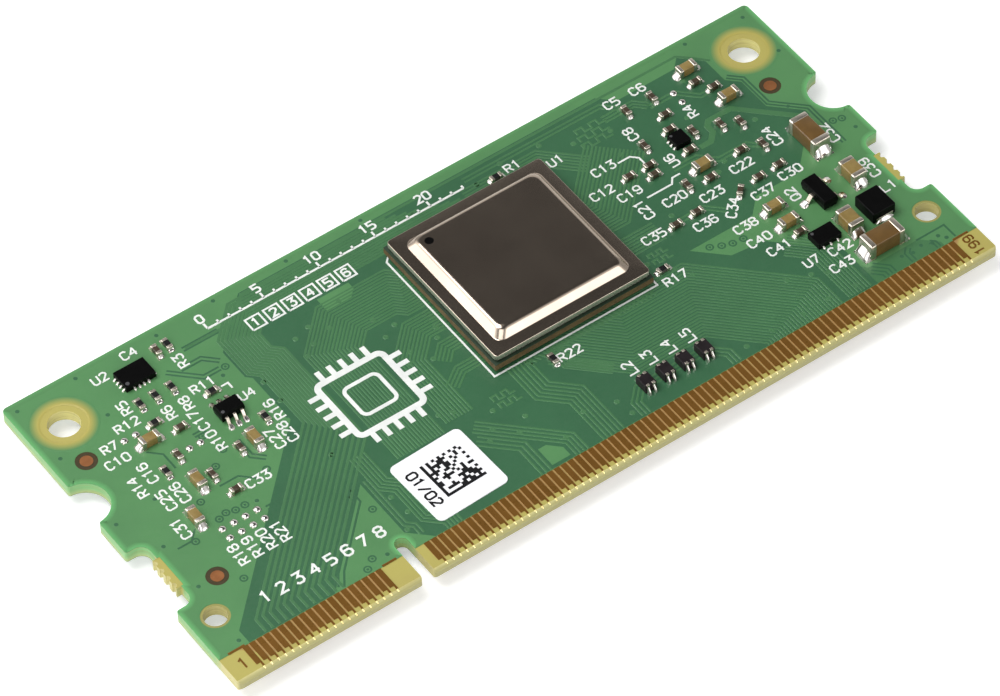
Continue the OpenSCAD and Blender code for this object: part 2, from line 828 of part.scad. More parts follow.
// Drawn lid: one profile of half width, corner radius and height, carried round the square
module processor_lid() {
    n = 4 * (lid_steps + 1);
    half = lid_w / 2;
    top = crown_w / 2;
    foot = top + crown_run;
    b = lid_bend;
    in_top = lid_top - lid_sheet;
    in_half = cavity_w / 2;
    profile = concat(
        [[die_w / 2 + crown_run, crown_r, in_top], [in_half, crown_r, flange_z]],
        [[half - b / 2, flange_r, flange_z], [half, flange_r, flange_z + b / 2]],
        [for (a = [0:30:90]) [half - b + b * cos(a), flange_r, flange_top - b + b * sin(a)]],
        [for (a = [90:-15:45]) [foot + b - b * cos(a), crown_r, flange_top + b - b * sin(a)]],
        [for (a = [45:15:90]) [top - b + b * cos(a), crown_r, lid_top - b + b * sin(a)]]
    );
    points = [for (p = profile) each square_ring(p[0], p[1], p[2])];
    sides = [
        for (k = [0:len(profile) - 2], i = [0:n - 1])
            let (j = (i + 1) % n)
                each [
                    [k * n + i, (k + 1) * n + i, (k + 1) * n + j],
                    [k * n + i, (k + 1) * n + j, k * n + j],
                ]
    ];
    inner_cap = [[for (i = [0:n - 1]) i]];
    outer_cap = [[for (i = [n - 1:-1:0]) (len(profile) - 1) * n + i]];
    color("#5a4d44")
        place(cpu_place) polyhedron(points, concat(sides, inner_cap, outer_cap));
}

module memory_balls() {
    color("#c8c8cc")
        hang()
            place(mem_place)
                ball_rings([mem_ball_columns, mem_ball_rows], mem_ball_rings, mem_ball_pitch)
                    ball(pack_ball_d, pack_ball_h);
}

module memory_substrate() {
    color("#3f5f43")
        hang() place(mem_place, pack_ball_h) block(mem_w, mem_d, pack_t, small_edge);
}

module memory_body() {
    color("#26272a")
        hang() place(mem_place, pack_ball_h + pack_t) block(mem_w, mem_d, mould_t, small_edge);
}

module flash_balls() {
    color("#c8c8cc")
        hang()
            place(flash_place)
                ball_rings([flash_ball_rows, flash_ball_rows], flash_ball_rings, flash_ball_pitch)
                    ball(pack_ball_d, pack_ball_h);
}

module flash_substrate() {
    color("#3f5f43")
        hang() place(flash_place, pack_ball_h) block(flash_w, flash_d, pack_t, small_edge);
}

module flash_body() {
    color("#26272a")
        hang() place(flash_place, pack_ball_h + pack_t) block(flash_w, flash_d, mould_t, small_edge);
}

module small_capacitor_bodies() {
    color("#6b4a2c")
        place(small_cap_places, top_z) chip_core(small_cap, small_edge);
}

module small_capacitor_ends() {
    color("#d4d2ce")
        place(small_cap_places, top_z) chip_ends(small_cap, end_s, small_edge);
}

module medium_capacitor_bodies() {
    color("#a88548")
        place(medium_cap_places, top_z) chip_core(medium_cap, small_edge);
}

module medium_capacitor_ends() {
    color("#d4d2ce")
        place(medium_cap_places, top_z) chip_ends(medium_cap, end_m, small_edge);
}

module large_capacitor_bodies() {
    color("#a88548")
        place(large_cap_places, top_z) chip_core(large_cap, large_edge);
}

module large_capacitor_ends() {
    color("#d4d2ce")
        place(large_cap_places, top_z) chip_ends(large_cap, end_l, large_edge);
}

module bulk_capacitor_bodies() {
    color("#8f5f28")
        place(bulk_cap_places, top_z) chip_core(bulk_cap, large_edge);
}

module bulk_capacitor_ends() {
    color("#d4d2ce")
        place(bulk_cap_places, top_z) chip_ends(bulk_cap, end_b, large_edge);
}

module resistor_bodies() {
    color("#e4e2da")
        place(resistor_places, top_z) chip_core(resistor, small_edge);
}

module resistor_films() {
    color("#16161a")
        place(resistor_places, top_z + res_h - end_t)
            translate([-res_l / 2 + end_s, -res_w / 2 + end_t, 0])
                cube([res_l - 2 * end_s, res_w - 2 * end_t, film_t]);
}

module resistor_ends() {
    color("#d4d2ce")
        place(resistor_places, top_z) chip_ends(resistor, end_s, small_edge);
}

module solder_fillets() {
    color("#d9dbde") {
        place(small_cap_places, top_z) chip_fillets(small_cap, fillet_s);
        place(medium_cap_places, top_z) chip_fillets(medium_cap, fillet_m);
        place(large_cap_places, top_z) chip_fillets(large_cap, fillet_l);
        place(bulk_cap_places, top_z) chip_fillets(bulk_cap, fillet_b);
        place(resistor_places, top_z) chip_fillets(resistor, fillet_s);
        place(port_place, top_z) land_fillets(port_w, port_d, 4, 4, land_pitch);
        place(buffer_place, top_z) land_fillets(buffer_w, buffer_w, 0, 3, land_pitch);
        place(reg_place, top_z) land_fillets(reg_w, reg_d, 3, 0, reg_pitch);
        place(gate_place, top_z)
            gate_leads_at() translate([lead_reach, 0, 0]) solder_fillet(lead_w, fillet_toe);
        place(fet_place, top_z)
            fet_leads_at() translate([fet_reach, 0, 0]) solder_fillet(fet_lead_w, fillet_toe);
        place(coil_place, top_z)
            for (s = [90, 270])
                rotate(s)
                    translate([coil_d / 2 + coil_term_t, 0, 0]) solder_fillet(coil_term_w, fillet_lead);
        place(filter_places, top_z)
            filter_terms_at() translate([end_t, 0, 0]) solder_fillet(filter_term_w, fillet_filter - end_t);
    }
}

module solder_domes() {
    r = bare_pad_w / 2;
    ball_r = (r * r + dome_h * dome_h) / (2 * dome_h);
    color("#d9dbde")
        place(bare_pad_places, top_z)
            difference() {
                translate([0, 0, dome_h - ball_r]) sphere(ball_r);
                translate([-ball_r, -ball_r, -2 * ball_r]) cube(2 * ball_r);
            }
}

module interface_chip_body() {
    color("#1a1a1d")
        place(port_place, top_z) leadless_body(port_w, port_d, 4, 4, land_pitch);
}

module interface_chip_lands() {
    color("#d4d2ce")
        place(port_place, top_z) lands(port_w, port_d, 4, 4, land_pitch);
}

module buffer_chip_body() {
    color("#1a1a1d")
        place(buffer_place, top_z) leadless_body(buffer_w, buffer_w, 0, 3, land_pitch);
}

module buffer_chip_lands() {
    color("#d4d2ce")
        place(buffer_place, top_z) lands(buffer_w, buffer_w, 0, 3, land_pitch);
}

module regulator_chip_body() {
    color("#1a1a1d")
        place(reg_place, top_z) leadless_body(reg_w, reg_d, 3, 0, reg_pitch);
}

module regulator_chip_lands() {
    color("#d4d2ce")
        place(reg_place, top_z) lands(reg_w, reg_d, 3, 0, reg_pitch);
}

module gate_chip_body() {
    color("#1d1d20")
        place(gate_place, top_z) moulded_body(gate_w, gate_d, gate_h, body_stand);
}

module gate_chip_leads() {
    color("#d4d2ce")
        place(gate_place, top_z) gate_leads_at() bent_lead(lead_w, gate_lead_h, lead_reach);
}

module transistor_body() {
    color("#1d1d20")
        place(fet_place, top_z) moulded_body(fet_w, fet_d, fet_h, body_stand);
}

module transistor_leads() {
    color("#d4d2ce")
        place(fet_place, top_z) fet_leads_at() bent_lead(fet_lead_w, fet_lead_h, fet_reach);
}

module power_coil_body() {
    color("#202024")
        place(coil_place, top_z + coil_term_t) block(coil_w, coil_d, coil_h - coil_term_t, large_edge);
}

module power_coil_terminals() {
    color("#d4d2ce")
        place(coil_place, top_z)
            for (s = [0, 180])
                rotate(s) translate([-coil_term_w / 2, coil_d / 2, 0]) {
                    translate([0, -coil_term_l, 0])
                        cube([coil_term_w, coil_term_l + coil_term_t, coil_term_t]);
                    cube([coil_term_w, coil_term_t, coil_term_h]);
                }
}

module filter_core() {
    translate([0, 0, end_t]) block(filter_w, filter_d, filter_h - 2 * end_t, small_edge);
}

module signal_filter_bodies() {
    color("#2b2a30")
        place(filter_places, top_z) filter_core();
}

module signal_filter_terminals() {
    color("#d4d2ce")
        place(filter_places, top_z)
            difference() {
                filter_terms_at()
                    translate([-filter_term_l, -filter_term_w / 2, 0])
                        cube([filter_term_l + end_t, filter_term_w, filter_h]);
                filter_core();
            }
}

module underside_capacitor_bodies() {
    color("#6b4a2c")
        hang() place(bank_places) chip_core(small_cap, small_edge);
}

module underside_capacitor_ends() {
    color("#d4d2ce")
        hang() place(bank_places) chip_ends(small_cap, end_s, small_edge);
}

module underside_solder_fillets() {
    color("#d9dbde")
        hang() place(bank_places) chip_fillets(small_cap, fillet_s);
}

module label() {
    color("#eeeef5")
        place(label_place, top_z) block(label_w, label_w, label_t, label_r);
}

circuit_board();
solder_mask_top();
solder_mask_bottom();
edge_contacts_top();
edge_contacts_bottom();
fiducial_marks();
copper_pads_top();
copper_pads_bottom();
processor_balls();
processor_substrate();
processor_die();
processor_paste();
processor_lid_adhesive();
processor_lid();
memory_balls();
memory_substrate();
memory_body();
flash_balls();
flash_substrate();
flash_body();
small_capacitor_bodies();
small_capacitor_ends();
medium_capacitor_bodies();
medium_capacitor_ends();
large_capacitor_bodies();
large_capacitor_ends();
bulk_capacitor_bodies();
bulk_capacitor_ends();
resistor_bodies();
resistor_films();
resistor_ends();
solder_fillets();
solder_domes();
interface_chip_body();
interface_chip_lands();
buffer_chip_body();
buffer_chip_lands();
regulator_chip_body();
regulator_chip_lands();
gate_chip_body();
gate_chip_leads();
transistor_body();
transistor_leads();
power_coil_body();
power_coil_terminals();
signal_filter_bodies();
signal_filter_terminals();
underside_capacitor_bodies();
underside_capacitor_ends();
underside_solder_fillets();
label();
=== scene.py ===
# %% [markdown]
# # A system on module and its finishes
# The object is a small circuit card with a gold edge connector, a processor under a metal lid, and dozens
# of soldered chip parts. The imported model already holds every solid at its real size, so this lesson adds
# what a solid can't show: copper under green lacquer, white print, bright solder, fired ceramic and drawn
# metal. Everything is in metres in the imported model's own frame, so a new piece goes where the model says
# it is.

# %% Load the frame
import json
import math

import bmesh
import bpy
import numpy as np
from mathutils import Matrix, Vector

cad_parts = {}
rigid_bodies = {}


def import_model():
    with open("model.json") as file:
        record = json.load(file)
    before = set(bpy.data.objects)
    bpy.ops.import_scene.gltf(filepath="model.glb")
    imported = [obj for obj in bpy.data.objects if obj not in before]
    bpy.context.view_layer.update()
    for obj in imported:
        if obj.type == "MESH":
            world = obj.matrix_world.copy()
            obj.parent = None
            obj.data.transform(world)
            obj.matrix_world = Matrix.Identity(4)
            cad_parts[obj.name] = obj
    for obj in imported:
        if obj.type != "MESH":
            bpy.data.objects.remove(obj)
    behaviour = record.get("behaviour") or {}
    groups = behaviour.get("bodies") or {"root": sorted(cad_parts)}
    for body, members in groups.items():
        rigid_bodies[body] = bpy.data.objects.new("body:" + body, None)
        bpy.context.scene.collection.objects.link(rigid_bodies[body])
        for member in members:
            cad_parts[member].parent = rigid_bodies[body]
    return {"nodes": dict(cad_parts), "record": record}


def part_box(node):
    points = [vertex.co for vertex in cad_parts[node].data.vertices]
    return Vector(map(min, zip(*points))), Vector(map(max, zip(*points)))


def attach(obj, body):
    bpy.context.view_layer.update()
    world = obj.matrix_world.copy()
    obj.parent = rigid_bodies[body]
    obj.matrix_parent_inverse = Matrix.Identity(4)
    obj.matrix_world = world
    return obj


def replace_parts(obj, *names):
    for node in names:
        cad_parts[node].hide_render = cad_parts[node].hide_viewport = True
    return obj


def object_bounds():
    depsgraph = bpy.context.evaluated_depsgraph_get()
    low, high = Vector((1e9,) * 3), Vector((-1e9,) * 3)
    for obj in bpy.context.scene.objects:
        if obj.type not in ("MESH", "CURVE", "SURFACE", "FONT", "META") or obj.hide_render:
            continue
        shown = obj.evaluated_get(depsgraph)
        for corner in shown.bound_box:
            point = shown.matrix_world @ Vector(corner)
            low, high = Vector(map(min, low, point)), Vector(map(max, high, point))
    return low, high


for leftover in list(bpy.data.objects):
    bpy.data.objects.remove(leftover)
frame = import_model()
cad_low, cad_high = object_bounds()

MM = 0.001
WELD, FINE_WELD = 1e-7, 1e-8
card_low, card_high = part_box("circuit_board")
mask_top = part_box("solder_mask_top")[1].z
mask_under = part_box("solder_mask_bottom")[0].z
print("frame:", len(frame["nodes"]), "nodes,", [round(v / MM, 2) for v in cad_high - cad_low], "mm")

# %% [markdown]
# Places on a card are read from two edges, as a board designer reads them: u millimetres from the left
# edge and v millimetres from the contact edge. One small function turns such points into metres in the
# frame. It works on whole arrays, so a hundred points cost no more code than one.


# %% Places on the card
def card(points):
    """Points (u, v) in millimetres from two edges of the card: scaled to metres and shifted to them."""
    return np.asarray(points, float) * MM + np.array([card_low.x, card_low.y])


def spread(turn_deg):
    """Unit directions along and across a part that is turned by an angle: its cosine and sine."""
    turn = np.radians(turn_deg)
    return np.array([np.cos(turn), np.sin(turn)]), np.array([-np.sin(turn), np.cos(turn)])


print("card middle:", card([33.8, 15.5]))

# %% [markdown]
# A mesh is two arrays: corners, and the faces that join them. The helpers here put such arrays into a
# mesh in one go, join several shapes into one, and number the faces of a grid. A grid that closes on
# itself makes a tube. Corners that fall on the same spot, as at a pole, are merged, so every piece is a
# closed skin.


# %% Arrays into meshes
def grid_faces(rows, columns, close_rows=False, close_columns=False):
    """Four corner numbers for each cell of a grid: its corner, and those in the next row and column."""
    r = np.arange(rows if close_rows else rows - 1)[:, None]
    c = np.arange(columns if close_columns else columns - 1)[None, :]
    r_next, c_next = (r + 1) % rows, (c + 1) % columns
    cells = [r * columns + c, r * columns + c_next, r_next * columns + c_next, r_next * columns + c]
    return np.stack([cell + 0 * r + 0 * c for cell in cells], -1).reshape(-1, 4)


def copies(corners, faces):
    """Corners (count, corners, 3) and one set of faces: each copy's faces skip the corners before it."""
    count, size = corners.shape[:2]
    shifted = faces[None] + (np.arange(count) * size)[:, None, None]
    return corners.reshape(-1, 3), shifted.reshape(-1, faces.shape[1])


def gather(shapes):
    """Several (corners, faces) as one: each shape's face numbers are shifted by the corners before it."""
    starts = np.cumsum([0] + [len(shape[0]) for shape in shapes[:-1]])
    corners = np.concatenate([shape[0] for shape in shapes])
    return corners, np.concatenate([shape[1] + start for shape, start in zip(shapes, starts)])


def finish_mesh(mesh, sharp_deg):
    """Smooth shading, with the edges that turn by more than sharp_deg kept crisp."""
    mesh.polygons.foreach_set("use_smooth", np.full(len(mesh.polygons), sharp_deg is not None))
    if sharp_deg is not None:
        mesh.set_sharp_from_angle(angle=math.radians(sharp_deg))


def piece(name, shape, material, sharp_deg=None, merge=0.0):
    """A mesh object that rides with the card. Edges over sharp_deg stay crisp, and None shades it flat."""
    corners, faces = shape
    mesh = bpy.data.meshes.new(name)
    mesh.vertices.add(len(corners))
    mesh.vertices.foreach_set("co", np.ascontiguousarray(corners, np.float32).ravel())
    mesh.loops.add(faces.size)
    mesh.loops.foreach_set("vertex_index", np.ascontiguousarray(faces, np.int32).ravel())
    mesh.polygons.add(len(faces))
    mesh.polygons.foreach_set("loop_start", np.arange(0, faces.size, faces.shape[1], dtype=np.int32))
    mesh.update(calc_edges=True)
    mesh.validate()
    if merge:
        work = bmesh.new()
        work.from_mesh(mesh)
        bmesh.ops.remove_doubles(work, verts=work.verts, dist=merge)
        bmesh.ops.recalc_face_normals(work, faces=work.faces)
        work.to_mesh(mesh)
        work.free()
    finish_mesh(mesh, sharp_deg)
    obj = bpy.data.objects.new(name, mesh)
    bpy.context.scene.collection.objects.link(obj)
    mesh.materials.append(material)
    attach(obj, "root")
    return obj


print("a 3 by 4 grid has", len(grid_faces(3, 4)), "faces")

# %% [markdown]
# The frame's solids say where each small part sits. A node such as the small capacitors is one mesh of
# many loose solids, so they are told apart by their shared corners: each corner takes the lowest number
# among the triangles around it until nothing changes. The longest direction of a solid then gives its
# turn on the card.


# %% Solids of a node
def islands(count, groups):
    """A label for each of count corners: a group's corners take its lowest label, until nothing moves."""
    label = np.arange(count)
    while True:
        low = label[groups].min(axis=1)
        moved = label.copy()
        np.minimum.at(moved, groups.ravel(), np.repeat(low, groups.shape[1]))
        if np.array_equal(moved, label):
            return label
        label = moved


def merged_triangles(node):
    """Corners and triangles of a node, with corners that share a place made one."""
    mesh = frame["nodes"][node].data
    place = np.empty(len(mesh.vertices) * 3, np.float32)
    mesh.vertices.foreach_get("co", place)
    corner = np.empty(len(mesh.loops), np.int32)
    mesh.loops.foreach_get("vertex_index", corner)
    place = place.reshape(-1, 3).astype(float)
    tenth_micron = np.round(place * 1e7).astype(np.int64)
    _, first, again = np.unique(tenth_micron, axis=0, return_index=True, return_inverse=True)
    return place[first], again.reshape(-1)[corner].reshape(-1, 3)


def points_of(node):
    """The corners of each solid of a node, one array for each."""
    place, triangles = merged_triangles(node)
    label = islands(len(place), triangles)
    return [place[label == one] for one in np.unique(label)]


def solids_of(node):
    """Centre, size and turn in degrees of each solid: its main direction is that of its corners' spread."""
    found = []
    for points in points_of(node):
        flat = points[:, :2] - (points[:, :2].max(0) + points[:, :2].min(0)) / 2
        axis = np.linalg.eigh(flat.T @ flat)[1][:, 1]
        turn = np.degrees(np.arctan2(axis[1], axis[0]))
        along, across = spread(turn)
        local = np.stack([points[:, :2] @ along, points[:, :2] @ across, points[:, 2]], -1)
        middle, size = (local.max(0) + local.min(0)) / 2, np.ptp(local, axis=0)
        xy = middle[0] * along + middle[1] * across
        found.append((np.array([xy[0], xy[1], points[:, 2].min()]), size, turn))
    return found


print("small capacitors found:", len(solids_of("small_capacitor_bodies")))

# %% [markdown]
# ## Finishes
# The finishes share one effect, so it is made once, as a node group. It mottles a coat: two colours mixed
# by soft noise, with finer noise as height and as uneven polish. The group puts out only what changes
# over the surface, and each material keeps its own shader and its own constants.


# %% Shared effects
def new_group(name, inputs, outputs):
    """An empty shader node group with named sockets, each given as (name, kind, value)."""
    group = bpy.data.node_groups.new(name, "ShaderNodeTree")
    for label, kind, value in inputs:
        socket = group.interface.new_socket(label, in_out="INPUT", socket_type="NodeSocket" + kind)
        socket.default_value = value
    for label, kind in outputs:
        group.interface.new_socket(label, in_out="OUTPUT", socket_type="NodeSocket" + kind)
    return group, group.nodes.new("NodeGroupInput"), group.nodes.new("NodeGroupOutput")


def noise(tree, vector, scale, detail, rough=0.5):
    """A noise texture read at a vector. Scale is in repeats per metre."""
    node = tree.nodes.new("ShaderNodeTexNoise")
    node.inputs["Detail"].default_value = detail
    node.inputs["Roughness"].default_value = rough
    tree.links.new(vector, node.inputs["Vector"])
    if isinstance(scale, bpy.types.NodeSocket):
        tree.links.new(scale, node.inputs["Scale"])
    else:
        node.inputs["Scale"].default_value = scale
    return node.outputs["Fac"]


def remap(tree, value, low, high, to_low, to_high):
    """Takes the stretch from low to high of a value onto another stretch, and holds it there."""
    node = tree.nodes.new("ShaderNodeMapRange")
    tree.links.new(value, node.inputs["Value"])
    for label, limit in (("From Min", low), ("From Max", high), ("To Min", to_low), ("To Max", to_high)):
        if isinstance(limit, bpy.types.NodeSocket):
            tree.links.new(limit, node.inputs[label])
        else:
            node.inputs[label].default_value = limit
    return node.outputs["Result"]


def blend_colours(tree, share, first, second):
    """A colour between two others, by a share from 0 to 1."""
    node = tree.nodes.new("ShaderNodeMix")
    node.data_type = "RGBA"
    tree.links.new(share, node.inputs["Factor"])
    for label, colour in (("A", first), ("B", second)):
        socket = [s for s in node.inputs if s.name == label and s.type == "RGBA"][0]
        if isinstance(colour, bpy.types.NodeSocket):
            tree.links.new(colour, socket)
        else:
            socket.default_value = colour
    return [s for s in node.outputs if s.type == "RGBA"][0]


def object_place(tree):
    """The place on the piece, in metres."""
    return tree.nodes.new("ShaderNodeTexCoord").outputs["Object"]


WHITE = (1, 1, 1, 1)
mottle, mottle_in, mottle_out = new_group(
    "mottled_coat",
    [("Colour A", "Color", WHITE), ("Colour B", "Color", WHITE), ("Patches", "Float", 300.0),
     ("Grain", "Float", 9000.0), ("Rough Low", "Float", 0.3), ("Rough High", "Float", 0.5)],
    [("Colour", "Color"), ("Roughness", "Float"), ("Height", "Float")])
spot = object_place(mottle)
patches = noise(mottle, spot, mottle_in.outputs["Patches"], 4.0)
grain = noise(mottle, spot, mottle_in.outputs["Grain"], 2.0)
share = remap(mottle, patches, 0.35, 0.65, 0.0, 1.0)
mottle.links.new(blend_colours(mottle, share, mottle_in.outputs["Colour A"], mottle_in.outputs["Colour B"]),
                 mottle_out.inputs["Colour"])
uneven = remap(mottle, grain, 0.3, 0.7, mottle_in.outputs["Rough Low"], mottle_in.outputs["Rough High"])
mottle.links.new(uneven, mottle_out.inputs["Roughness"])
mottle.links.new(grain, mottle_out.inputs["Height"])
print("node groups:", [g.name for g in bpy.data.node_groups])

# %% [markdown]
# Colours are written as the photograph shows them, from 0 to 255, and turned into the linear light that
# the renderer counts in. One function makes a coated finish from two such colours.


# %% Materials from the shared coat
def colour(red, green, blue):
    """Display colour, 0 to 255, as linear light: the display's curve undone."""
    value = np.array([red, green, blue]) / 255
    linear = np.where(value <= 0.04045, value / 12.92, ((value + 0.055) / 1.055) ** 2.4)
    return (*linear.tolist(), 1.0)


def coat(name, first, second, patches, grain, rough, bump, metal=0.0, **constants):
    """A finish of two mottled colours. rough is a low and a high value, bump the grain's height in metres."""
    made = bpy.data.materials.new(name)
    made.use_nodes = True
    tree = made.node_tree
    shader = tree.nodes["Principled BSDF"]
    effect = tree.nodes.new("ShaderNodeGroup")
    effect.node_tree = mottle
    effect.inputs["Colour A"].default_value = colour(*first)
    effect.inputs["Colour B"].default_value = colour(*second)
    effect.inputs["Patches"].default_value = patches
    effect.inputs["Grain"].default_value = grain
    effect.inputs["Rough Low"].default_value, effect.inputs["Rough High"].default_value = rough
    tree.links.new(effect.outputs["Colour"], shader.inputs["Base Color"])
    tree.links.new(effect.outputs["Roughness"], shader.inputs["Roughness"])
    height = tree.nodes.new("ShaderNodeBump")
    height.inputs["Strength"].default_value = 1.0
    height.inputs["Distance"].default_value = bump
    tree.links.new(effect.outputs["Height"], height.inputs["Height"])
    tree.links.new(height.outputs["Normal"], shader.inputs["Normal"])
    shader.inputs["Metallic"].default_value = metal
    for label, value in constants.items():
        shader.inputs[label.replace("_", " ")].default_value = value
    return made


lacquer = dict(patches=220, grain=5000, rough=(0.32, 0.42), bump=1.2e-6, IOR=1.5)
mask_copper = coat("mask_over_copper", (85, 138, 86), (81, 132, 83), **lacquer)
mask_bare = coat("mask_over_laminate", (53, 102, 68), (50, 97, 65), **lacquer)
mask_trace = coat("mask_over_trace", (69, 119, 75), (65, 113, 72), **lacquer)
silk_ink = coat("white_print", (240, 241, 238), (226, 229, 226), 900, 20000, (0.55, 0.7), 2e-6)
solder = coat("reflowed_solder", (218, 214, 209), (198, 194, 189), 1400, 6000, (0.12, 0.2), 2e-6, metal=1.0)
tin = coat("fired_tin", (208, 199, 186), (190, 181, 167), 1500, 14000, (0.3, 0.4), 2e-6, metal=1.0)
gold = coat("plated_gold", (140, 98, 40), (130, 90, 34), 300, 900, (0.26, 0.3), 2e-7, metal=0.5)
copper = coat("bare_copper", (168, 110, 66), (152, 97, 58), 1600, 12000, (0.35, 0.45), 1e-6, metal=0.6)
nickel = coat("drawn_nickel", (176, 162, 147), (166, 152, 138), 260, 16000, (0.16, 0.22), 8e-7, metal=1.0)
moulding = coat("black_moulding", (9, 9, 9), (6, 6, 6), 1500, 22000, (0.3, 0.4), 2e-6,
                Specular_IOR_Level=0.06)
ferrite = coat("pressed_ferrite", (40, 35, 37), (32, 28, 30), 1800, 20000, (0.3, 0.4), 2e-6,
               Specular_IOR_Level=0.1)
dark_ceramic = coat("dark_fired_ceramic", (70, 58, 42), (58, 47, 33), 1800, 18000, (0.3, 0.4), 2e-6)
tan_ceramic = coat("tan_fired_ceramic", (146, 124, 72), (132, 110, 60), 1400, 18000, (0.3, 0.4), 2e-6)
brown_ceramic = coat("brown_fired_ceramic", (108, 80, 38), (96, 70, 32), 1200, 18000, (0.3, 0.4), 2e-6)
alumina = coat("grey_alumina", (84, 80, 74), (72, 68, 62), 1800, 18000, (0.5, 0.65), 2e-6)
film = coat("black_overcoat", (12, 12, 13), (9, 9, 10), 1800, 16000, (0.25, 0.4), 2e-6)
paper = coat("label_paper", (250, 249, 252), (245, 245, 249), 400, 16000, (0.45, 0.6), 1.5e-6)
label_ink = coat("label_ink", (14, 14, 16), (20, 20, 22), 1500, 16000, (0.5, 0.6), 1e-6,
                 Specular_IOR_Level=0.15)
package_brown = coat("brown_package_laminate", (104, 84, 50), (90, 70, 40), 1200, 9000, (0.5, 0.65), 3e-6)
package_green = coat("green_package_laminate", (66, 98, 68), (56, 86, 60), 1200, 9000, (0.45, 0.6), 2e-6)
silicon = coat("ground_silicon", (82, 86, 94), (72, 76, 84), 900, 12000, (0.2, 0.35), 1e-6, metal=0.4)
paste = coat("dry_paste", (216, 216, 214), (200, 200, 198), 900, 6000, (0.6, 0.8), 8e-6)
adhesive = coat("silicone_bead", (186, 181, 168), (172, 166, 152), 800, 5000, (0.4, 0.6), 6e-6)
print("materials:", len(bpy.data.materials))

# %% [markdown]
# Glass-fibre laminate is a stack of woven layers, so its sawn edge shows thin lines along the card. Noise
# that is stretched along the card and squeezed across its thickness draws them. Light soaks into the
# laminate, so its tone depends on the place: cream at the sawn edge, mint under the lacquer, and yellow
# on the bare top. The walls of the rear holes are painted lighter, as the light that passes through the
# laminate there, and the front face is painted darker, as shade. Masks that change with the place blend
# these tones. The processor's own laminate is brown at its sides, and its green, lacquered top is painted
# dark, as the shade under the lid's flange.

# %% Laminate
# Mirrored pairs of holes and tabs: a place, and the two distances between which a tone fades
rear_pair = ((30.8 * MM, 11.7 * MM), 1.5 * MM, 2.0 * MM)
front_pair = ((31.8 * MM, -9.5 * MM), 1.2 * MM, 1.6 * MM)
tab_pair = ((32.4 * MM, -4.25 * MM), 1.6 * MM, 2.0 * MM)
# The gap between the two banks of contacts, at the key: its middle and half its width
key_bank = (-18.17 * MM, 1.88 * MM)


def clear_of(tree, split, middle, inner, outer):
    """0 near a place and its mirror image across X, and 1 away from them: a distance, remapped."""
    side = tree.nodes.new("ShaderNodeMath")
    side.operation = "ABSOLUTE"
    tree.links.new(split.outputs["X"], side.inputs[0])
    flat = tree.nodes.new("ShaderNodeCombineXYZ")
    tree.links.new(side.outputs[0], flat.inputs["X"])
    tree.links.new(split.outputs["Y"], flat.inputs["Y"])
    away = tree.nodes.new("ShaderNodeVectorMath")
    away.operation = "DISTANCE"
    tree.links.new(flat.outputs[0], away.inputs[0])
    away.inputs[1].default_value = (middle[0], middle[1], 0)
    return remap(tree, away.outputs["Value"], inner, outer, 0.0, 1.0)


def beside(tree, value, middle, half):
    """0 within half a width of a middle along one axis and 1 beyond it: a comparison, turned round."""
    near = tree.nodes.new("ShaderNodeMath")
    near.operation = "COMPARE"
    tree.links.new(value, near.inputs[0])
    near.inputs[1].default_value, near.inputs[2].default_value = middle, half
    return remap(tree, near.outputs[0], 0.0, 1.0, 1.0, 0.0)


def product(tree, values):
    """All of the values multiplied together."""
    total = values[0]
    for value in values[1:]:
        node = tree.nodes.new("ShaderNodeMath")
        node.operation = "MULTIPLY"
        tree.links.new(total, node.inputs[0])
        tree.links.new(value, node.inputs[1])
        total = node.outputs[0]
    return total


def laminate_finish():
    """Cream at the saw-cut edge, lighter as painted light in the rear holes and darker as painted shade on
    the front face, mint towards the lacquer above it, and yellow on top: blends by place.
    """
    made = coat("bare_laminate", (214, 206, 144), (202, 192, 124), 500, 8000, (0.4, 0.55), 2e-6)
    tree = made.node_tree
    shader = tree.nodes["Principled BSDF"]
    base = shader.inputs["Base Color"].links[0].from_socket
    split = tree.nodes.new("ShaderNodeSeparateXYZ")
    tree.links.new(object_place(tree), split.inputs[0])
    rear, front, tab = (clear_of(tree, split, *pair) for pair in (rear_pair, front_pair, tab_pair))
    rise = remap(tree, split.outputs["Z"], card_low.z - 0.3 * MM, card_low.z + 0.5 * MM, 0.0, 1.0)
    behind = remap(tree, split.outputs["Y"], card_low.y + 2.2 * MM, card_low.y + 3.2 * MM, 0.0, 1.0)
    past_front_face_shade = remap(tree, split.outputs["Y"], card_low.y + 0.1 * MM, card_low.y + 0.3 * MM, 0.0, 1.0)
    # Painted light: the walls of the rear holes take a lighter tone, as the light that passes through the
    # laminate there
    edge_with_painted_hole_light = blend_colours(tree, rear, colour(234, 226, 152), base)
    # Painted shade: the front face, nearest the front by the mask above, takes a darker tone
    edge_with_painted_light_and_shade = blend_colours(tree, past_front_face_shade, colour(174, 169, 115), edge_with_painted_hole_light)
    green = blend_colours(tree, product(tree, [rise, behind, rear, front, tab]), edge_with_painted_light_and_shade, colour(132, 190, 124))
    top = remap(tree, split.outputs["Z"], card_high.z - 0.004 * MM, card_high.z - 0.001 * MM, 0.0, 1.0)
    ring = blend_colours(tree, front, colour(150, 146, 82), colour(178, 168, 88))
    past_bevel = remap(tree, split.outputs["Y"], card_low.y + 0.6 * MM, card_low.y + 0.9 * MM, 0.0, 1.0)
    before_mask = remap(tree, split.outputs["Y"], card_low.y + 2.5 * MM, card_low.y + 2.6 * MM, 1.0, 0.0)
    off_corner = clear_of(tree, split, (card_high.x, card_low.y), 2.9 * MM, 3.1 * MM)
    off_bank = beside(tree, split.outputs["X"], *key_bank)
    between = product(tree, [past_bevel, before_mask, off_corner, off_bank])
    strips = blend_colours(tree, between, ring, colour(168, 132, 78))
    tree.links.new(blend_colours(tree, top, green, strips), shader.inputs["Base Color"])
    return made


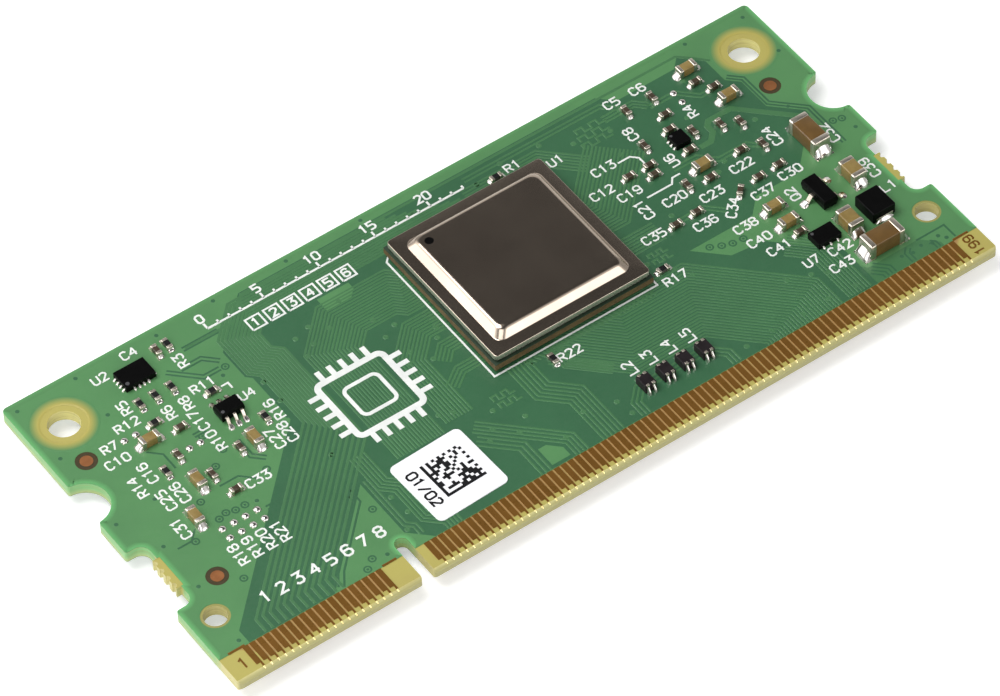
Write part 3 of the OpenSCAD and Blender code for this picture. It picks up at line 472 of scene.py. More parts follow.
def add_layers(made, tint, share):
    """Darkens a finish in thin lines: noise stretched along the card and squeezed across its thickness."""
    tree = made.node_tree
    shader = tree.nodes["Principled BSDF"]
    base = shader.inputs["Base Color"].links[0].from_socket
    stretch = tree.nodes.new("ShaderNodeMapping")
    stretch.inputs["Scale"].default_value = (300, 300, 9000)
    tree.links.new(object_place(tree), stretch.inputs["Vector"])
    stripes = noise(tree, stretch.outputs["Vector"], 1.0, 3.0)
    mask = remap(tree, stripes, 0.48, 0.62, 0.0, share)
    tree.links.new(blend_colours(tree, mask, base, colour(*tint)), shader.inputs["Base Color"])


def lacquered_top(made, level, tone):
    """Another tone on the top of a package, as painted shade: the height, remapped over a hundredth of a
    millimetre.
    """
    tree = made.node_tree
    shader = tree.nodes["Principled BSDF"]
    base = shader.inputs["Base Color"].links[0].from_socket
    split = tree.nodes.new("ShaderNodeSeparateXYZ")
    tree.links.new(object_place(tree), split.inputs[0])
    top = remap(tree, split.outputs["Z"], level - 0.03 * MM, level - 0.02 * MM, 0.0, 1.0)
    tree.links.new(blend_colours(tree, top, base, colour(*tone)), shader.inputs["Base Color"])


laminate = laminate_finish()
add_layers(laminate, (170, 156, 88), 0.3)
add_layers(package_brown, (76, 56, 32), 0.55)
# The green lacquer on the processor's package is painted dark, as the shade under the lid's flange
lacquered_top(package_brown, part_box("processor_substrate")[1].z, (26, 48, 30))
print("laminate layers on", laminate.name, "and", package_brown.name)

# %% [markdown]
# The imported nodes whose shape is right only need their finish. Each gets the material that belongs to its
# slot in the record, so the table below is short: a slot's name, then the finish.

# %% Finishes for the frame's own nodes
finish_of_slot = {
    "laminate": laminate, "solder_mask": mask_copper, "gold_contacts": gold, "copper": copper,
    "solder": solder, "tin_plating": tin, "processor_laminate": package_brown, "silicon": silicon,
    "thermal_paste": paste, "lid_adhesive": adhesive, "lid_metal": nickel,
    "package_laminate": package_green, "moulding": moulding, "dark_ceramic": dark_ceramic,
    "tan_ceramic": tan_ceramic, "brown_ceramic": brown_ceramic, "white_ceramic": alumina,
    "resistor_film": film, "ferrite": ferrite, "label_paper": paper,
}
slot_of = {row["node"]: row["material_slot"] for row in frame["record"]["subparts"]}
finish_of = {node: finish_of_slot[slot] for node, slot in slot_of.items()}
# The pads are tinned, and the coil is as black as the mouldings
finish_of["copper_pads_top"] = finish_of["copper_pads_bottom"] = tin
finish_of["power_coil_body"] = moulding
for node, obj in frame["nodes"].items():
    obj.data.materials.clear()
    obj.data.materials.append(finish_of[node])
print("finished nodes:", len(slot_of))

# %% [markdown]
# ## Copper under the lacquer
# Solder mask is a thin lacquer, so it shows what lies under it: light green over copper, dark green over
# bare laminate. The mask's own solid takes the light tone, which suits the broad copper areas at both
# ends. One dark sheet, a few microns thick, marks where the copper was etched away, and every trace is a
# low ridge on it. A ridge is one four-sided profile carried along a flat path. At a bend the profile
# follows the mitre, the line halfway between the two runs, so parallel traces keep their spacing right
# round the corner.


# %% Ridges along paths
def mitres(paths):
    """Across direction at each point of flat paths: both runs' normals added, scaled to keep the width."""
    run = np.diff(paths, axis=-2)
    run = run / np.linalg.norm(run, axis=-1, keepdims=True)
    normal = np.stack([-run[..., 1], run[..., 0]], -1)
    before = np.concatenate([normal[..., :1, :], normal], -2)
    after = np.concatenate([normal, normal[..., -1:, :]], -2)
    both = before + after
    return 2 * both / (both ** 2).sum(-1, keepdims=True)


def bundle(middle, lanes, pitch):
    """Parallel lanes beside one middle path: the path plus its mitre times each lane's distance."""
    middle = np.asarray(middle, float)
    offset = (np.arange(lanes) - (lanes - 1) / 2) * pitch
    return middle[None] + mitres(middle)[None] * offset[:, None, None]


def ridges(paths, width, base, height, slope=0.02):
    """Closed ridges on lanes of (u, v) points: a trapezium's four corners offset along each point's mitre."""
    paths = np.asarray(paths, float)
    lanes, points = paths.shape[:2]
    half = width / 2
    across = np.array([-half - slope, -half, half, half + slope])
    level = base + np.array([0, height, height, 0])
    flat = card(paths[:, :, None] + mitres(paths)[:, :, None] * across[None, None, :, None])
    corners = np.concatenate([flat, np.broadcast_to(level[:, None], flat.shape[:3] + (1,))], -1)
    tube = grid_faces(points, 4, close_columns=True)[:, ::-1]
    caps = np.array([[0, 1, 2, 3], [4 * points - 1, 4 * points - 2, 4 * points - 3, 4 * points - 4]])
    faces = np.concatenate([tube, caps])
    if height < 0:
        faces = faces[:, ::-1]
    return copies(corners.reshape(lanes, points * 4, 3), faces)


print("a bundle of three:", bundle([(0, 0), (1, 0), (2, 1)], 3, 0.25).shape)

# %% [markdown]
# The dark sheet's outline has one corner for each turn that the etched area takes. It leaves light copper
# at the left end, beside the key, along the rear edge and at the right end. A second sheet, in the tone
# of a trace, is a field of close traces at the right end of the contacts.

# %% The etched area
etched_outline = [
    (2.6, 2.6), (2.6, 3.9), (16.4, 17.7), (16.4, 22.6), (16.0, 23.0), (16.0, 25.9), (20.1, 30.0),
    (52.6, 30.0), (53.8, 28.8), (59.2, 28.8), (60.2, 29.8), (61.6, 28.4), (61.6, 25.6), (62.5, 24.7),
    (62.5, 21.6), (64.6, 19.5), (64.6, 19.0), (60.4, 14.8), (56.4, 14.8), (55.0, 13.4), (49.2, 13.4),
    (51.4, 11.2), (54.2, 10.9), (58.4, 6.7), (58.4, 2.6), (18.6, 2.6), (17.0, 4.2), (17.0, 9.7),
    (9.9, 2.6),
]
sheet_level = mask_top + 0.003 * MM


def flat_sheet(outline, base, level):
    """A thin sheet with any outline: the outline at two heights, joined by walls and closed by two faces."""
    flat = card(outline)
    count = len(flat)
    corners = np.concatenate([np.column_stack([flat, np.full(count, z)]) for z in (base, level)])
    walls = grid_faces(2, count, close_columns=True)
    return corners, [list(range(count))[::-1], list(range(count, 2 * count))] + walls.tolist()


def sheet_piece(name, outline, base, level, material):
    """The sheet as a piece. Its two big faces have many corners, so it is made from lists, not a grid."""
    corners, faces = flat_sheet(outline, base, level)
    mesh = bpy.data.meshes.new(name)
    mesh.from_pydata(corners.tolist(), [], faces)
    work = bmesh.new()
    work.from_mesh(mesh)
    bmesh.ops.recalc_face_normals(work, faces=work.faces)
    work.to_mesh(mesh)
    work.free()
    obj = bpy.data.objects.new(name, mesh)
    bpy.context.scene.collection.objects.link(obj)
    mesh.materials.append(material)
    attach(obj, "root")
    return obj


sheet_piece("etched_area", etched_outline, mask_top, sheet_level, mask_bare)
field_outline = [(58.4, 2.6), (58.4, 4.6), (58.8, 4.2), (63.4, 4.2), (64.6, 3.0), (64.6, 2.6)]
sheet_piece("trace_field_front", field_outline, mask_top, sheet_level, mask_trace)
island_outlines = [[(29.1, 2.9), (30.7, 2.9), (30.7, 3.8), (29.8, 4.7), (29.1, 4.7)],
                   [(24.4, 24.7), (26.6, 24.7), (27.2, 25.3), (27.2, 26.0), (24.4, 26.0)]]
island_level = sheet_level + 0.01 * MM
for count, outline in enumerate(island_outlines):
    sheet_piece(f"copper_island_{count}", outline, sheet_level, island_level, mask_copper)
print("etched area:", len(etched_outline), "corners")

# %% [markdown]
# Most traces run in buses. One fans out from the contacts at the left end, climbs beside the print and
# turns into the processor. Others leave the processor's front and right sides, and run at 45 degrees to
# the contacts. Each bus is one middle path, a count of lanes and a spacing. Where a lane starts at its
# own contact, a formula gives the path: up from the contact, across at 45 degrees, then up again in a
# closer bundle.

# %% Traces on the top
fan_lanes, fan_pitch, contact_pitch = 12, 0.26, 0.6
contact_v, fan_v = 2.7, 4.0
lane = np.arange(fan_lanes)
contact_u = 4.1 + contact_pitch * lane
bus_u = 17.0 + fan_pitch * lane
rear_v = 29.6 - fan_pitch * lane
# Lanes keep their spacing through a bend of 45 degrees if each bends this much further along
bend_step = fan_pitch * math.tan(math.radians(22.5))
jog, jog_v, turn_v = 0.7, 22.4 + bend_step * lane, 27.0 - bend_step * lane
fan = np.stack([
    np.stack([contact_u, np.full(fan_lanes, contact_v)], -1),
    np.stack([contact_u, np.full(fan_lanes, fan_v)], -1),
    np.stack([bus_u, fan_v + bus_u - contact_u], -1),
    np.stack([bus_u, jog_v], -1),
    np.stack([bus_u - jog, jog_v + jog], -1),
    np.stack([bus_u - jog, turn_v], -1),
    np.stack([bus_u - jog + rear_v - turn_v, rear_v], -1),
    np.stack([33.0 + 0.8 * lane, rear_v], -1),
], axis=1)
trace_w, fan_trace_w, trace_h, trace_h_step = 0.13, 0.19, 0.012 * MM, 0.0012 * MM
trace_buses = [
    (fan, fan_trace_w),
    (bundle([(22.6, 10.0), (22.6, 21.2), (24.8, 23.4), (29.2, 23.4), (29.8, 22.8), (31.0, 22.8)], 16, 0.27),
     trace_w),
    (bundle([(26.4, 10.6), (26.4, 17.0), (28.6, 19.2), (31.0, 19.2)], 9, 0.28), trace_w),
    (bundle([(26.6, 9.2), (31.6, 4.2), (31.6, 2.6)], 4, 0.34), trace_w),
    (bundle([(28.4, 15.6), (29.4, 16.6), (31.0, 16.6)], 5, 0.3), trace_w),
    (bundle([(27.6, 13.2), (29.0, 14.2), (31.0, 14.2)], 4, 0.3), trace_w),
    (bundle([(18.3, 12.0), (18.3, 8.8), (19.2, 7.9), (19.2, 4.6), (20.4, 3.4), (20.4, 2.62)], 5, 0.3),
     trace_w),
    (bundle([(17.5, 9.8), (17.5, 4.8), (18.0, 4.3), (18.0, 3.4)], 2, 0.34), trace_w),
    (bundle([(26.0, 8.0), (28.4, 5.6), (28.4, 2.6)], 3, 0.4), trace_w),
    (bundle([(36.8, 13.2), (40.6, 9.4), (46.6, 9.4), (51.8, 4.2), (51.8, 2.6)], 25, 0.28), trace_w),
    (bundle([(32.6, 12.4), (32.6, 9.0), (34.4, 7.2), (34.4, 2.6)], 6, 0.36), trace_w),
    (bundle([(35.6, 12.4), (35.6, 10.0), (38.0, 7.6)], 4, 0.3), trace_w),
    (bundle([(44.6, 20.6), (46.4, 20.6), (50.8, 25.0)], 16, 0.3), trace_w),
    (bundle([(44.6, 16.4), (48.6, 16.4)], 7, 0.3), trace_w),
    (bundle([(39.0, 27.6), (45.6, 27.6), (48.4, 24.8)], 6, 0.3), trace_w),
    (bundle([(14.0, 27.9), (18.3, 27.9), (20.2, 29.8), (60.0, 29.8), (61.9, 27.9)], 1, 0.3), 0.2),
    (bundle([(53.0, 20.6), (55.2, 20.6), (56.4, 19.4), (59.0, 19.4), (60.0, 18.4)], 2, 0.35), trace_w),
    (bundle([(50.4, 16.2), (52.6, 16.2), (53.8, 15.0)], 2, 0.35), trace_w),
    (bundle([(55.4, 26.8), (57.8, 26.8), (59.2, 25.4), (60.8, 25.4)], 2, 0.35), trace_w),
    (bundle([(51.8, 27.8), (54.6, 27.8), (55.4, 27.0)], 3, 0.3), trace_w),
    (bundle([(55.2, 9.6), (56.9, 7.9), (56.9, 2.7)], 8, 0.28), trace_w),
    (bundle([(37.4, 2.7), (37.4, 4.0), (38.4, 5.0), (44.4, 5.0), (45.6, 3.8), (45.6, 2.7)], 3, 0.34),
     trace_w),
    (bundle([(39.8, 29.1), (52.4, 29.1), (53.6, 27.9)], 2, 0.36), trace_w),
    (bundle([(56.0, 21.2), (57.0, 21.2), (57.7, 21.9), (57.7, 22.6), (58.1, 23.0), (60.2, 23.0),
             (63.9, 19.3)], 1, 1), 0.45),
]


def serpentine(start, turns, pitch, reach):
    """A trace made longer by folds: square steps of half a pitch along u, that swing by reach along v."""
    step = np.arange(4 * turns + 1)
    u = start[0] + pitch * (step // 2) / 2
    v = start[1] + reach * np.isin(step % 4, (1, 2))
    return np.stack([u, v], -1)[None]


trace_buses += [(serpentine((49.0 + 0.2 * row, 26.2 + 0.75 * row), 2, 1.3, 0.5), trace_w) for row in range(3)]
trace_buses += [(serpentine((29.2 + 0.1 * row, 10.2 - 0.8 * row), 2, 0.9, 0.5), trace_w) for row in range(2)]
trace_buses += [(serpentine((46.4, 14.5 - 0.7 * row), 2, 0.8, 0.4), trace_w) for row in range(2)]
comb_count, comb_rear, comb_front, comb_lean, comb_w = 29, 11.95, 11.45, 0.3, 0.15
comb_u = 33.2 + 0.4 * np.arange(comb_count)
comb_paths = np.stack([np.stack([comb_u, np.full(comb_count, comb_rear)], -1),
                       np.stack([comb_u + comb_lean, np.full(comb_count, comb_front)], -1)], 1)
trace_buses += [(comb_paths, comb_w)]
# Buses that cross differ in height, so that no two tops share a plane
traces = gather([ridges(paths, width, sheet_level, trace_h + trace_h_step * (number % 7))
                 for number, (paths, width) in enumerate(trace_buses)])
piece("traces_top", traces, mask_trace, sharp_deg=20)
print("traces:", sum(len(paths) for paths, width in trace_buses), "lanes,", len(traces[1]), "faces")

# %% [markdown]
# On the light copper areas a trace shows the other way round, as two dark gaps etched along its sides.
# Vias, the plated holes that join layers, show as a dark ring round a small pad with a dimple. A ring is
# a profile of radius and height turned about its middle, and all rings are made at once from the list of
# their places.


# %% Gaps and vias
def turned(places, profile, base, segments=20):
    """Profiles of (radius, height) turned about upright axes at many places, by equal steps of angle."""
    angle = np.arange(segments) * 2 * np.pi / segments
    profile = np.asarray(profile, float)
    round_about = np.stack([np.cos(angle), np.sin(angle)], -1)
    xy = card(places)[:, None, None] + profile[None, :, None, :1] * MM * round_about[None, None]
    z = np.broadcast_to(base + profile[None, :, None, 1:] * MM, xy.shape[:3] + (1,))
    corners = np.concatenate([xy, z], -1).reshape(len(places), -1, 3)
    return copies(corners, grid_faces(len(profile), segments, close_columns=True))


def disc(radius, tall, slope=0.02):
    """Profile of a low dot: flat out to its radius, then down to the ground over the slope."""
    return [(0.0, tall), (radius, tall), (radius + slope, 0.0)]


gap_w, gap_h = 0.13, 0.004 * MM
gap_paths = [
    bundle([(13.8, 27.9), (16.9, 27.9)], 2, 0.34),
    bundle([(11.6, 26.8), (13.6, 24.8), (15.0, 24.8)], 2, 0.34),
    bundle([(9.9, 2.8), (9.9, 3.6), (16.9, 10.6)], 2, 0.34),
    bundle([(10.6, 2.8), (11.4, 4.0), (15.9, 8.5), (15.9, 10.4)], 2, 0.42),
    bundle([(10.9, 20.6), (9.9, 20.6)], 2, 0.3),
    bundle([(61.9, 25.8), (62.8, 24.9), (62.8, 21.8), (65.0, 19.6), (65.0, 15.2)], 2, 0.3),
    bundle([(63.2, 4.2), (65.8, 4.2), (65.8, 2.8)], 1, 0.3),
    bundle([(12.6, 26.4), (14.4, 26.4), (15.4, 25.4)], 2, 0.34),
    bundle([(6.3, 21.4), (7.2, 20.5), (7.2, 18.9)], 1, 0.3),
    bundle([(8.8, 15.6), (10.4, 15.6), (11.6, 14.4)], 1, 0.3),
    bundle([(10.4, 11.9), (11.0, 11.9), (11.8, 12.7)], 2, 0.34),
    bundle([(3.2, 12.6), (4.4, 12.6), (5.2, 13.4)], 1, 0.3),
    bundle([(12.2, 18.4), (12.2, 16.6), (13.0, 15.8)], 2, 0.34),
    bundle([(58.9, 4.0), (59.7, 3.2), (59.7, 2.7)], 4, 0.34),
    bundle([(62.3, 4.0), (61.9, 3.6), (61.9, 2.7)], 2, 0.36),
    bundle([(63.9, 3.5), (64.2, 3.2), (64.2, 2.7)], 2, 0.3),
]
gaps = gather([ridges(paths, gap_w, mask_top, gap_h) for paths in gap_paths])
piece("copper_gaps", gaps, mask_bare)

ringed_vias = [
    (5.5, 7.6), (7.1, 13.1), (7.8, 13.3), (8.5, 13.1), (9.3, 13.1), (14.4, 12.9), (14.9, 9.3),
    (16.4, 7.3), (13.8, 3.6), (13.0, 3.0), (15.4, 24.7), (10.4, 20.2), (10.9, 18.3), (9.6, 17.3),
    (12.4, 14.9), (57.0, 16.2), (57.4, 9.2), (50.6, 12.8), (51.4, 12.4), (52.2, 12.1), (53.1, 12.0),
    (65.6, 17.4), (66.3, 17.2), (6.9, 15.2), (4.6, 12.4),
]
plain_vias = [
    (1.0, 24.6), (0.9, 17.1), (0.9, 30.2), (6.0, 30.3), (13.0, 30.2), (18.2, 30.5), (24.7, 30.5),
    (31.4, 30.5), (2.5, 13.4), (2.5, 8.9), (2.1, 3.2), (15.9, 14.9), (15.0, 8.7), (14.9, 3.3),
    (16.4, 18.1), (14.8, 24.1), (61.4, 3.6), (62.3, 3.4), (63.2, 3.6), (64.0, 3.3), (64.8, 3.6),
    (65.2, 3.1), (66.6, 30.0), (66.7, 25.6), (60.2, 15.4), (61.4, 30.4), (66.6, 15.9), (63.8, 20.6),
    (6.0, 26.0), (12.6, 22.2), (10.2, 12.9), (4.4, 17.4),
]
field_vias = [
    (16.9, 13.2), (16.8, 21.8), (16.8, 19.6), (21.0, 23.8), (21.8, 22.6), (22.4, 24.2), (23.6, 23.2),
    (20.8, 21.9), (25.6, 24.9), (26.6, 21.9), (26.4, 20.0), (27.6, 20.6), (26.4, 16.9), (27.0, 17.8),
    (28.0, 16.2), (29.4, 17.7), (29.9, 18.6), (25.2, 11.6), (26.2, 11.2), (26.8, 7.4), (27.6, 8.2),
    (29.0, 6.8), (30.2, 7.8), (28.6, 9.6), (31.4, 4.4), (36.6, 3.4), (36.3, 4.9), (33.8, 5.6),
    (47.2, 12.6), (48.0, 11.4), (53.2, 6.8), (55.0, 6.2), (56.2, 5.6), (47.0, 3.5), (49.4, 3.6),
    (52.2, 3.5), (54.6, 3.6), (57.0, 3.4), (48.6, 27.2), (51.6, 26.6), (50.8, 24.2), (52.0, 21.2),
    (55.6, 18.4), (57.0, 24.2), (59.0, 27.4), (56.6, 19.0), (50.2, 17.0), (61.0, 21.0), (17.35, 4.3),
    (18.3, 5.6), (18.1, 7.4), (34.9, 28.6), (43.0, 28.9), (40.4, 28.2), (46.4, 28.6), (45.9, 14.2),
]
ring = [(0.2, 0.0), (0.2, 0.005), (0.33, 0.005), (0.33, 0.0)]
dimple, wide_dimple = disc(0.09, 0.006), disc(0.15, 0.006)
pad = [(0.0, 0.002), (0.06, 0.006), (0.1, 0.012), (0.2, 0.012), (0.23, 0.0)]
piece("via_rings", turned(ringed_vias, ring, mask_top), mask_bare)
dimples = gather([turned(ringed_vias, dimple, mask_top), turned(plain_vias, wide_dimple, mask_top)])
piece("via_dimples", dimples, mask_bare, merge=WELD)
piece("via_pads", turned(field_vias, pad, sheet_level), mask_trace, sharp_deg=40, merge=WELD)
print("vias:", len(ringed_vias), "ringed,", len(plain_vias), "plain,", len(field_vias), "on the etched area")

# %% [markdown]
# Near its sawn edge the card has no copper, so light passes through the laminate and the lacquer glows a
# paler, yellower green. The rim is a narrow band laid along the mask's own outline. That outline is the
# set of triangle edges that only one upward face uses. Each edge becomes one quad to the same edge moved
# inwards, and an attribute that runs from 1 at the edge to 0 inside lets the colour fade. Along the rear
# the rim is in shade, so it starts lower, and along the contacts there is none.

# %% The lit rim
rim_w, rim_h, inner_lift = 0.5 * MM, 0.008 * MM, 0.1
bare_front, rear_strip, rear_glow = 0.3 * MM, 0.2 * MM, 0.35


def outline_edges(node, level):
    """Directed edges round a node's upward faces: those whose reverse isn't an edge of such a face."""
    place, triangles = merged_triangles(node)
    flat = np.all(np.abs(place[triangles][:, :, 2] - level) < WELD, axis=1)
    edges = np.concatenate([triangles[flat][:, [a, b]] for a, b in ((0, 1), (1, 2), (2, 0))])
    code = edges[:, 0] * len(place) + edges[:, 1]
    reverse = edges[:, 1] * len(place) + edges[:, 0]
    edges = edges[~np.isin(code, reverse)]
    label = islands(len(place), edges)[edges[:, 0]]
    reach = [np.ptp(place[edges[label == one][:, 0]][:, 0]) for one in np.unique(label)]
    return place, edges[label == np.unique(label)[np.argmax(reach)]]


def rim_band(node, level, lift, inner):
    """Quads from each outline edge to its inward copy: a corner moves along the mitre of its two edges."""
    place, edges = outline_edges(node, level)
    run = place[edges[:, 1], :2] - place[edges[:, 0], :2]
    run /= np.linalg.norm(run, axis=1, keepdims=True)
    inward = np.stack([-run[:, 1], run[:, 0]], -1) * (1 if lift > 0 else -1)
    mitre = np.zeros((len(place), 2))
    np.add.at(mitre, edges[:, 0], inward)
    np.add.at(mitre, edges[:, 1], inward)
    mitre *= 2 / np.maximum((mitre ** 2).sum(1, keepdims=True), 1.0)
    keep = place[edges, 1].max(1) > place[edges, 1].min() + bare_front
    ends = edges[keep]
    outer, flat = np.full(len(ends), level + lift), np.full(len(ends), level + lift * inner_lift)
    moved = place[:, :2] + mitre * inner
    quad = [np.column_stack([place[ends[:, 0], :2], outer]), np.column_stack([place[ends[:, 1], :2], outer]),
            np.column_stack([moved[ends[:, 1]], flat]), np.column_stack([moved[ends[:, 0]], flat])]
    corners = np.stack(quad, 1)
    return copies(corners, np.array([[0, 1, 2, 3]] if lift > 0 else [[3, 2, 1, 0]]))


def rim_finish(name, first, second):
    """The lacquer with a glow that fades inwards: a coat and the plain mask, blended by an attribute."""
    made = coat(name, first, second, **lacquer)
    tree = made.node_tree
    shader = tree.nodes["Principled BSDF"]
    glow = shader.inputs["Base Color"].links[0].from_socket
    fade = tree.nodes.new("ShaderNodeAttribute")
    fade.attribute_name = "edge"
    share = remap(tree, fade.outputs["Fac"], 0.1, 1.0, 0.0, 1.0)
    tree.links.new(blend_colours(tree, share, colour(83, 135, 84), glow), shader.inputs["Base Color"])
    return made


def add_fade(obj, values):
    """The attribute that the rim's finish reads: 1 at the lit side and 0 inside."""
    edge = obj.data.attributes.new("edge", "FLOAT", "POINT")
    edge.data.foreach_set("value", np.asarray(values, np.float32))


mask_rim = rim_finish("mask_at_the_edge", (108, 180, 112), (100, 172, 106))
for rim_name, rim_node, rim_level, rim_lift in (("rim_top", "solder_mask_top", mask_top, rim_h),
                                                ("rim_under", "solder_mask_bottom", mask_under, -rim_h)):
    band = rim_band(rim_node, rim_level, rim_lift, rim_w)
    inner = np.tile([1.0, 1.0, 0.0, 0.0], len(band[0]) // 4)
    shaded = np.where(band[0][:, 1] > card_high.y - rear_strip, rear_glow, 1.0)
    add_fade(piece(rim_name, band, mask_rim), inner * shaded)
    print(rim_name, len(band[1]), "quads")

# %% [markdown]
# Around the two rear holes the laminate shines through a wide opening, and its yellow fades out under the
# lacquer. The aiming marks sit in openings over buried copper, which look dark brown. Both are flat
# rings. Those round the holes stand at the holes' places on the card, and those round the marks at the
# middles of the marks' own solids.


# %% Rings round the holes and marks
def places_of(node):
    """Middles of a node's solids, in millimetres from the card's edges."""
    middles = np.array([(points.max(0) + points.min(0))[:2] / 2 for points in points_of(node)])
    return (middles - np.array([card_low.x, card_low.y])) / MM


card_w, hole_inset, hole_v = 67.6, 3.0, 27.2
ring_steps, mark_steps = 64, 48
rear_holes = [(hole_inset, hole_v), (card_w - hole_inset, hole_v)]
ring_fade = rim_finish("mask_round_the_holes", (178, 168, 88), (172, 162, 84))
fade_profile = [(1.75, -0.02), (1.9, 0.004), (2.62, 0.004), (2.66, -0.001)]
for count, hole in enumerate(rear_holes):
    fade_ring = turned([hole], fade_profile, mask_top, ring_steps)
    fade = piece(f"hole_fade_{count}", fade_ring, ring_fade)
    add_fade(fade, np.repeat([1.0, 1.0, 0.0, 0.0], ring_steps))
buried = coat("laminate_over_copper", (68, 56, 30), (60, 50, 27), **lacquer)
marks = places_of("fiducial_marks")
mark_ring = [(0.4, 0.001), (0.5, 0.012), (0.84, 0.012), (0.85, 0.001)]
piece("mark_openings", turned(marks, mark_ring, card_high.z, mark_steps), buried)
print("aiming marks:", len(marks))

# %% [markdown]
# ## White print
# The print on a card is drawn with a pen of one width, so letters are strokes and not outlines. The
# strokes here are points on a grid four steps wide and six high, one list for each sign, and the same
# ridge function draws them. Only plain reference marks and numbers are printed: a letter for the kind of
# part, and a number.

# %% A pen alphabet
PEN = {
    "0": [[(0, 3), (0, 5), (1, 6), (3, 6), (4, 5), (4, 1), (3, 0), (1, 0), (0, 1), (0, 3)]],
    "1": [[(0.5, 5), (2, 6), (2, 0)]],
    "2": [[(0, 5), (1, 6), (3, 6), (4, 5), (4, 4), (0, 0), (4, 0)]],
    "3": [[(0, 6), (4, 6), (2, 3.6), (3, 3.6), (4, 2.6), (4, 1), (3, 0), (1, 0), (0, 1)]],
    "4": [[(3, 6), (0, 2), (4, 2)], [(3, 0), (3, 5.4)]],
    "5": [[(4, 6), (0, 6), (0, 3.4), (3, 3.4), (4, 2.4), (4, 1), (3, 0), (0, 0)]],
    "6": [[(4, 5), (3, 6), (1, 6), (0, 5), (0, 1), (1, 0), (3, 0), (4, 1), (4, 2.4), (3, 3.4), (0.5, 3.4)]],
    "7": [[(0, 6), (4, 6), (1, 0)]],
    "8": [[(1, 3.2), (0, 4.2), (0, 5), (1, 6), (3, 6), (4, 5), (4, 4.2), (3, 3.2), (1, 3.2)],
          [(1, 3.2), (0, 2.2), (0, 1), (1, 0), (3, 0), (4, 1), (4, 2.2), (3, 3.2)]],
    "9": [[(0, 1), (1, 0), (3, 0), (4, 1), (4, 5), (3, 6), (1, 6), (0, 5), (0, 3.6), (1, 2.6), (3.5, 2.6)]],
    "C": [[(4, 5), (3, 6), (1, 6), (0, 5), (0, 1), (1, 0), (3, 0), (4, 1)]],
    "L": [[(0, 6), (0, 0), (4, 0)]],
    "Q": [[(0, 3), (0, 5), (1, 6), (3, 6), (4, 5), (4, 1), (3, 0), (1, 0), (0, 1), (0, 3)],
          [(2.4, 1.6), (4, 0)]],
    "R": [[(0, 0), (0, 6), (3, 6), (4, 5), (4, 4), (3, 3), (0.5, 3)], [(2, 3), (4, 0)]],
    "U": [[(0, 6), (0, 1), (1, 0), (3, 0), (4, 1), (4, 6)]],
    "/": [[(0, 0), (4, 6)]],
}
SIGN_STEP = 5.6
print_h, ink_slope, stroke_lift = 0.028 * MM, 0.01, 0.08


def written(text, place, turn_deg, height, pen, base, lift):
    """Strokes of a short text centred on a place: grid points scaled, turned, and made ridges."""
    along, across = spread(turn_deg)
    scale = height / 6
    start = -(SIGN_STEP * (len(text) - 1) + 4) / 2
    shapes = []
    for number, sign in enumerate(text):
        for order, stroke in enumerate(PEN.get(sign, [])):
            local = (np.array(stroke, float) + [start + SIGN_STEP * number, -3]) * scale
            path = np.asarray(place) + local[:, :1] * along + local[:, 1:] * across
            # Each stroke of a sign is a little higher than the last, so that no two tops share a plane
            shapes.append(ridges(path[None], pen, base, lift * (1 + stroke_lift * order), slope=ink_slope))
    return shapes


def inked(paths, pen):
    """Lines of print on the lacquer: ridges with the print's height and steep sides."""
    return ridges(paths, pen, mask_top, print_h, slope=ink_slope)


print("signs:", "".join(sorted(PEN)))

# %% [markdown]
# Each part has its mark beside it, and some marks are turned to fit. The processor has a thin frame with
# one cut corner, and leader lines join crowded marks to their parts. Beside the label stands a plain sign
# for a chip. Along the rear runs a millimetre rule with plain numbers, with a row of boxed numbers in
# front of it, and a last row of numbers stands behind the contacts.

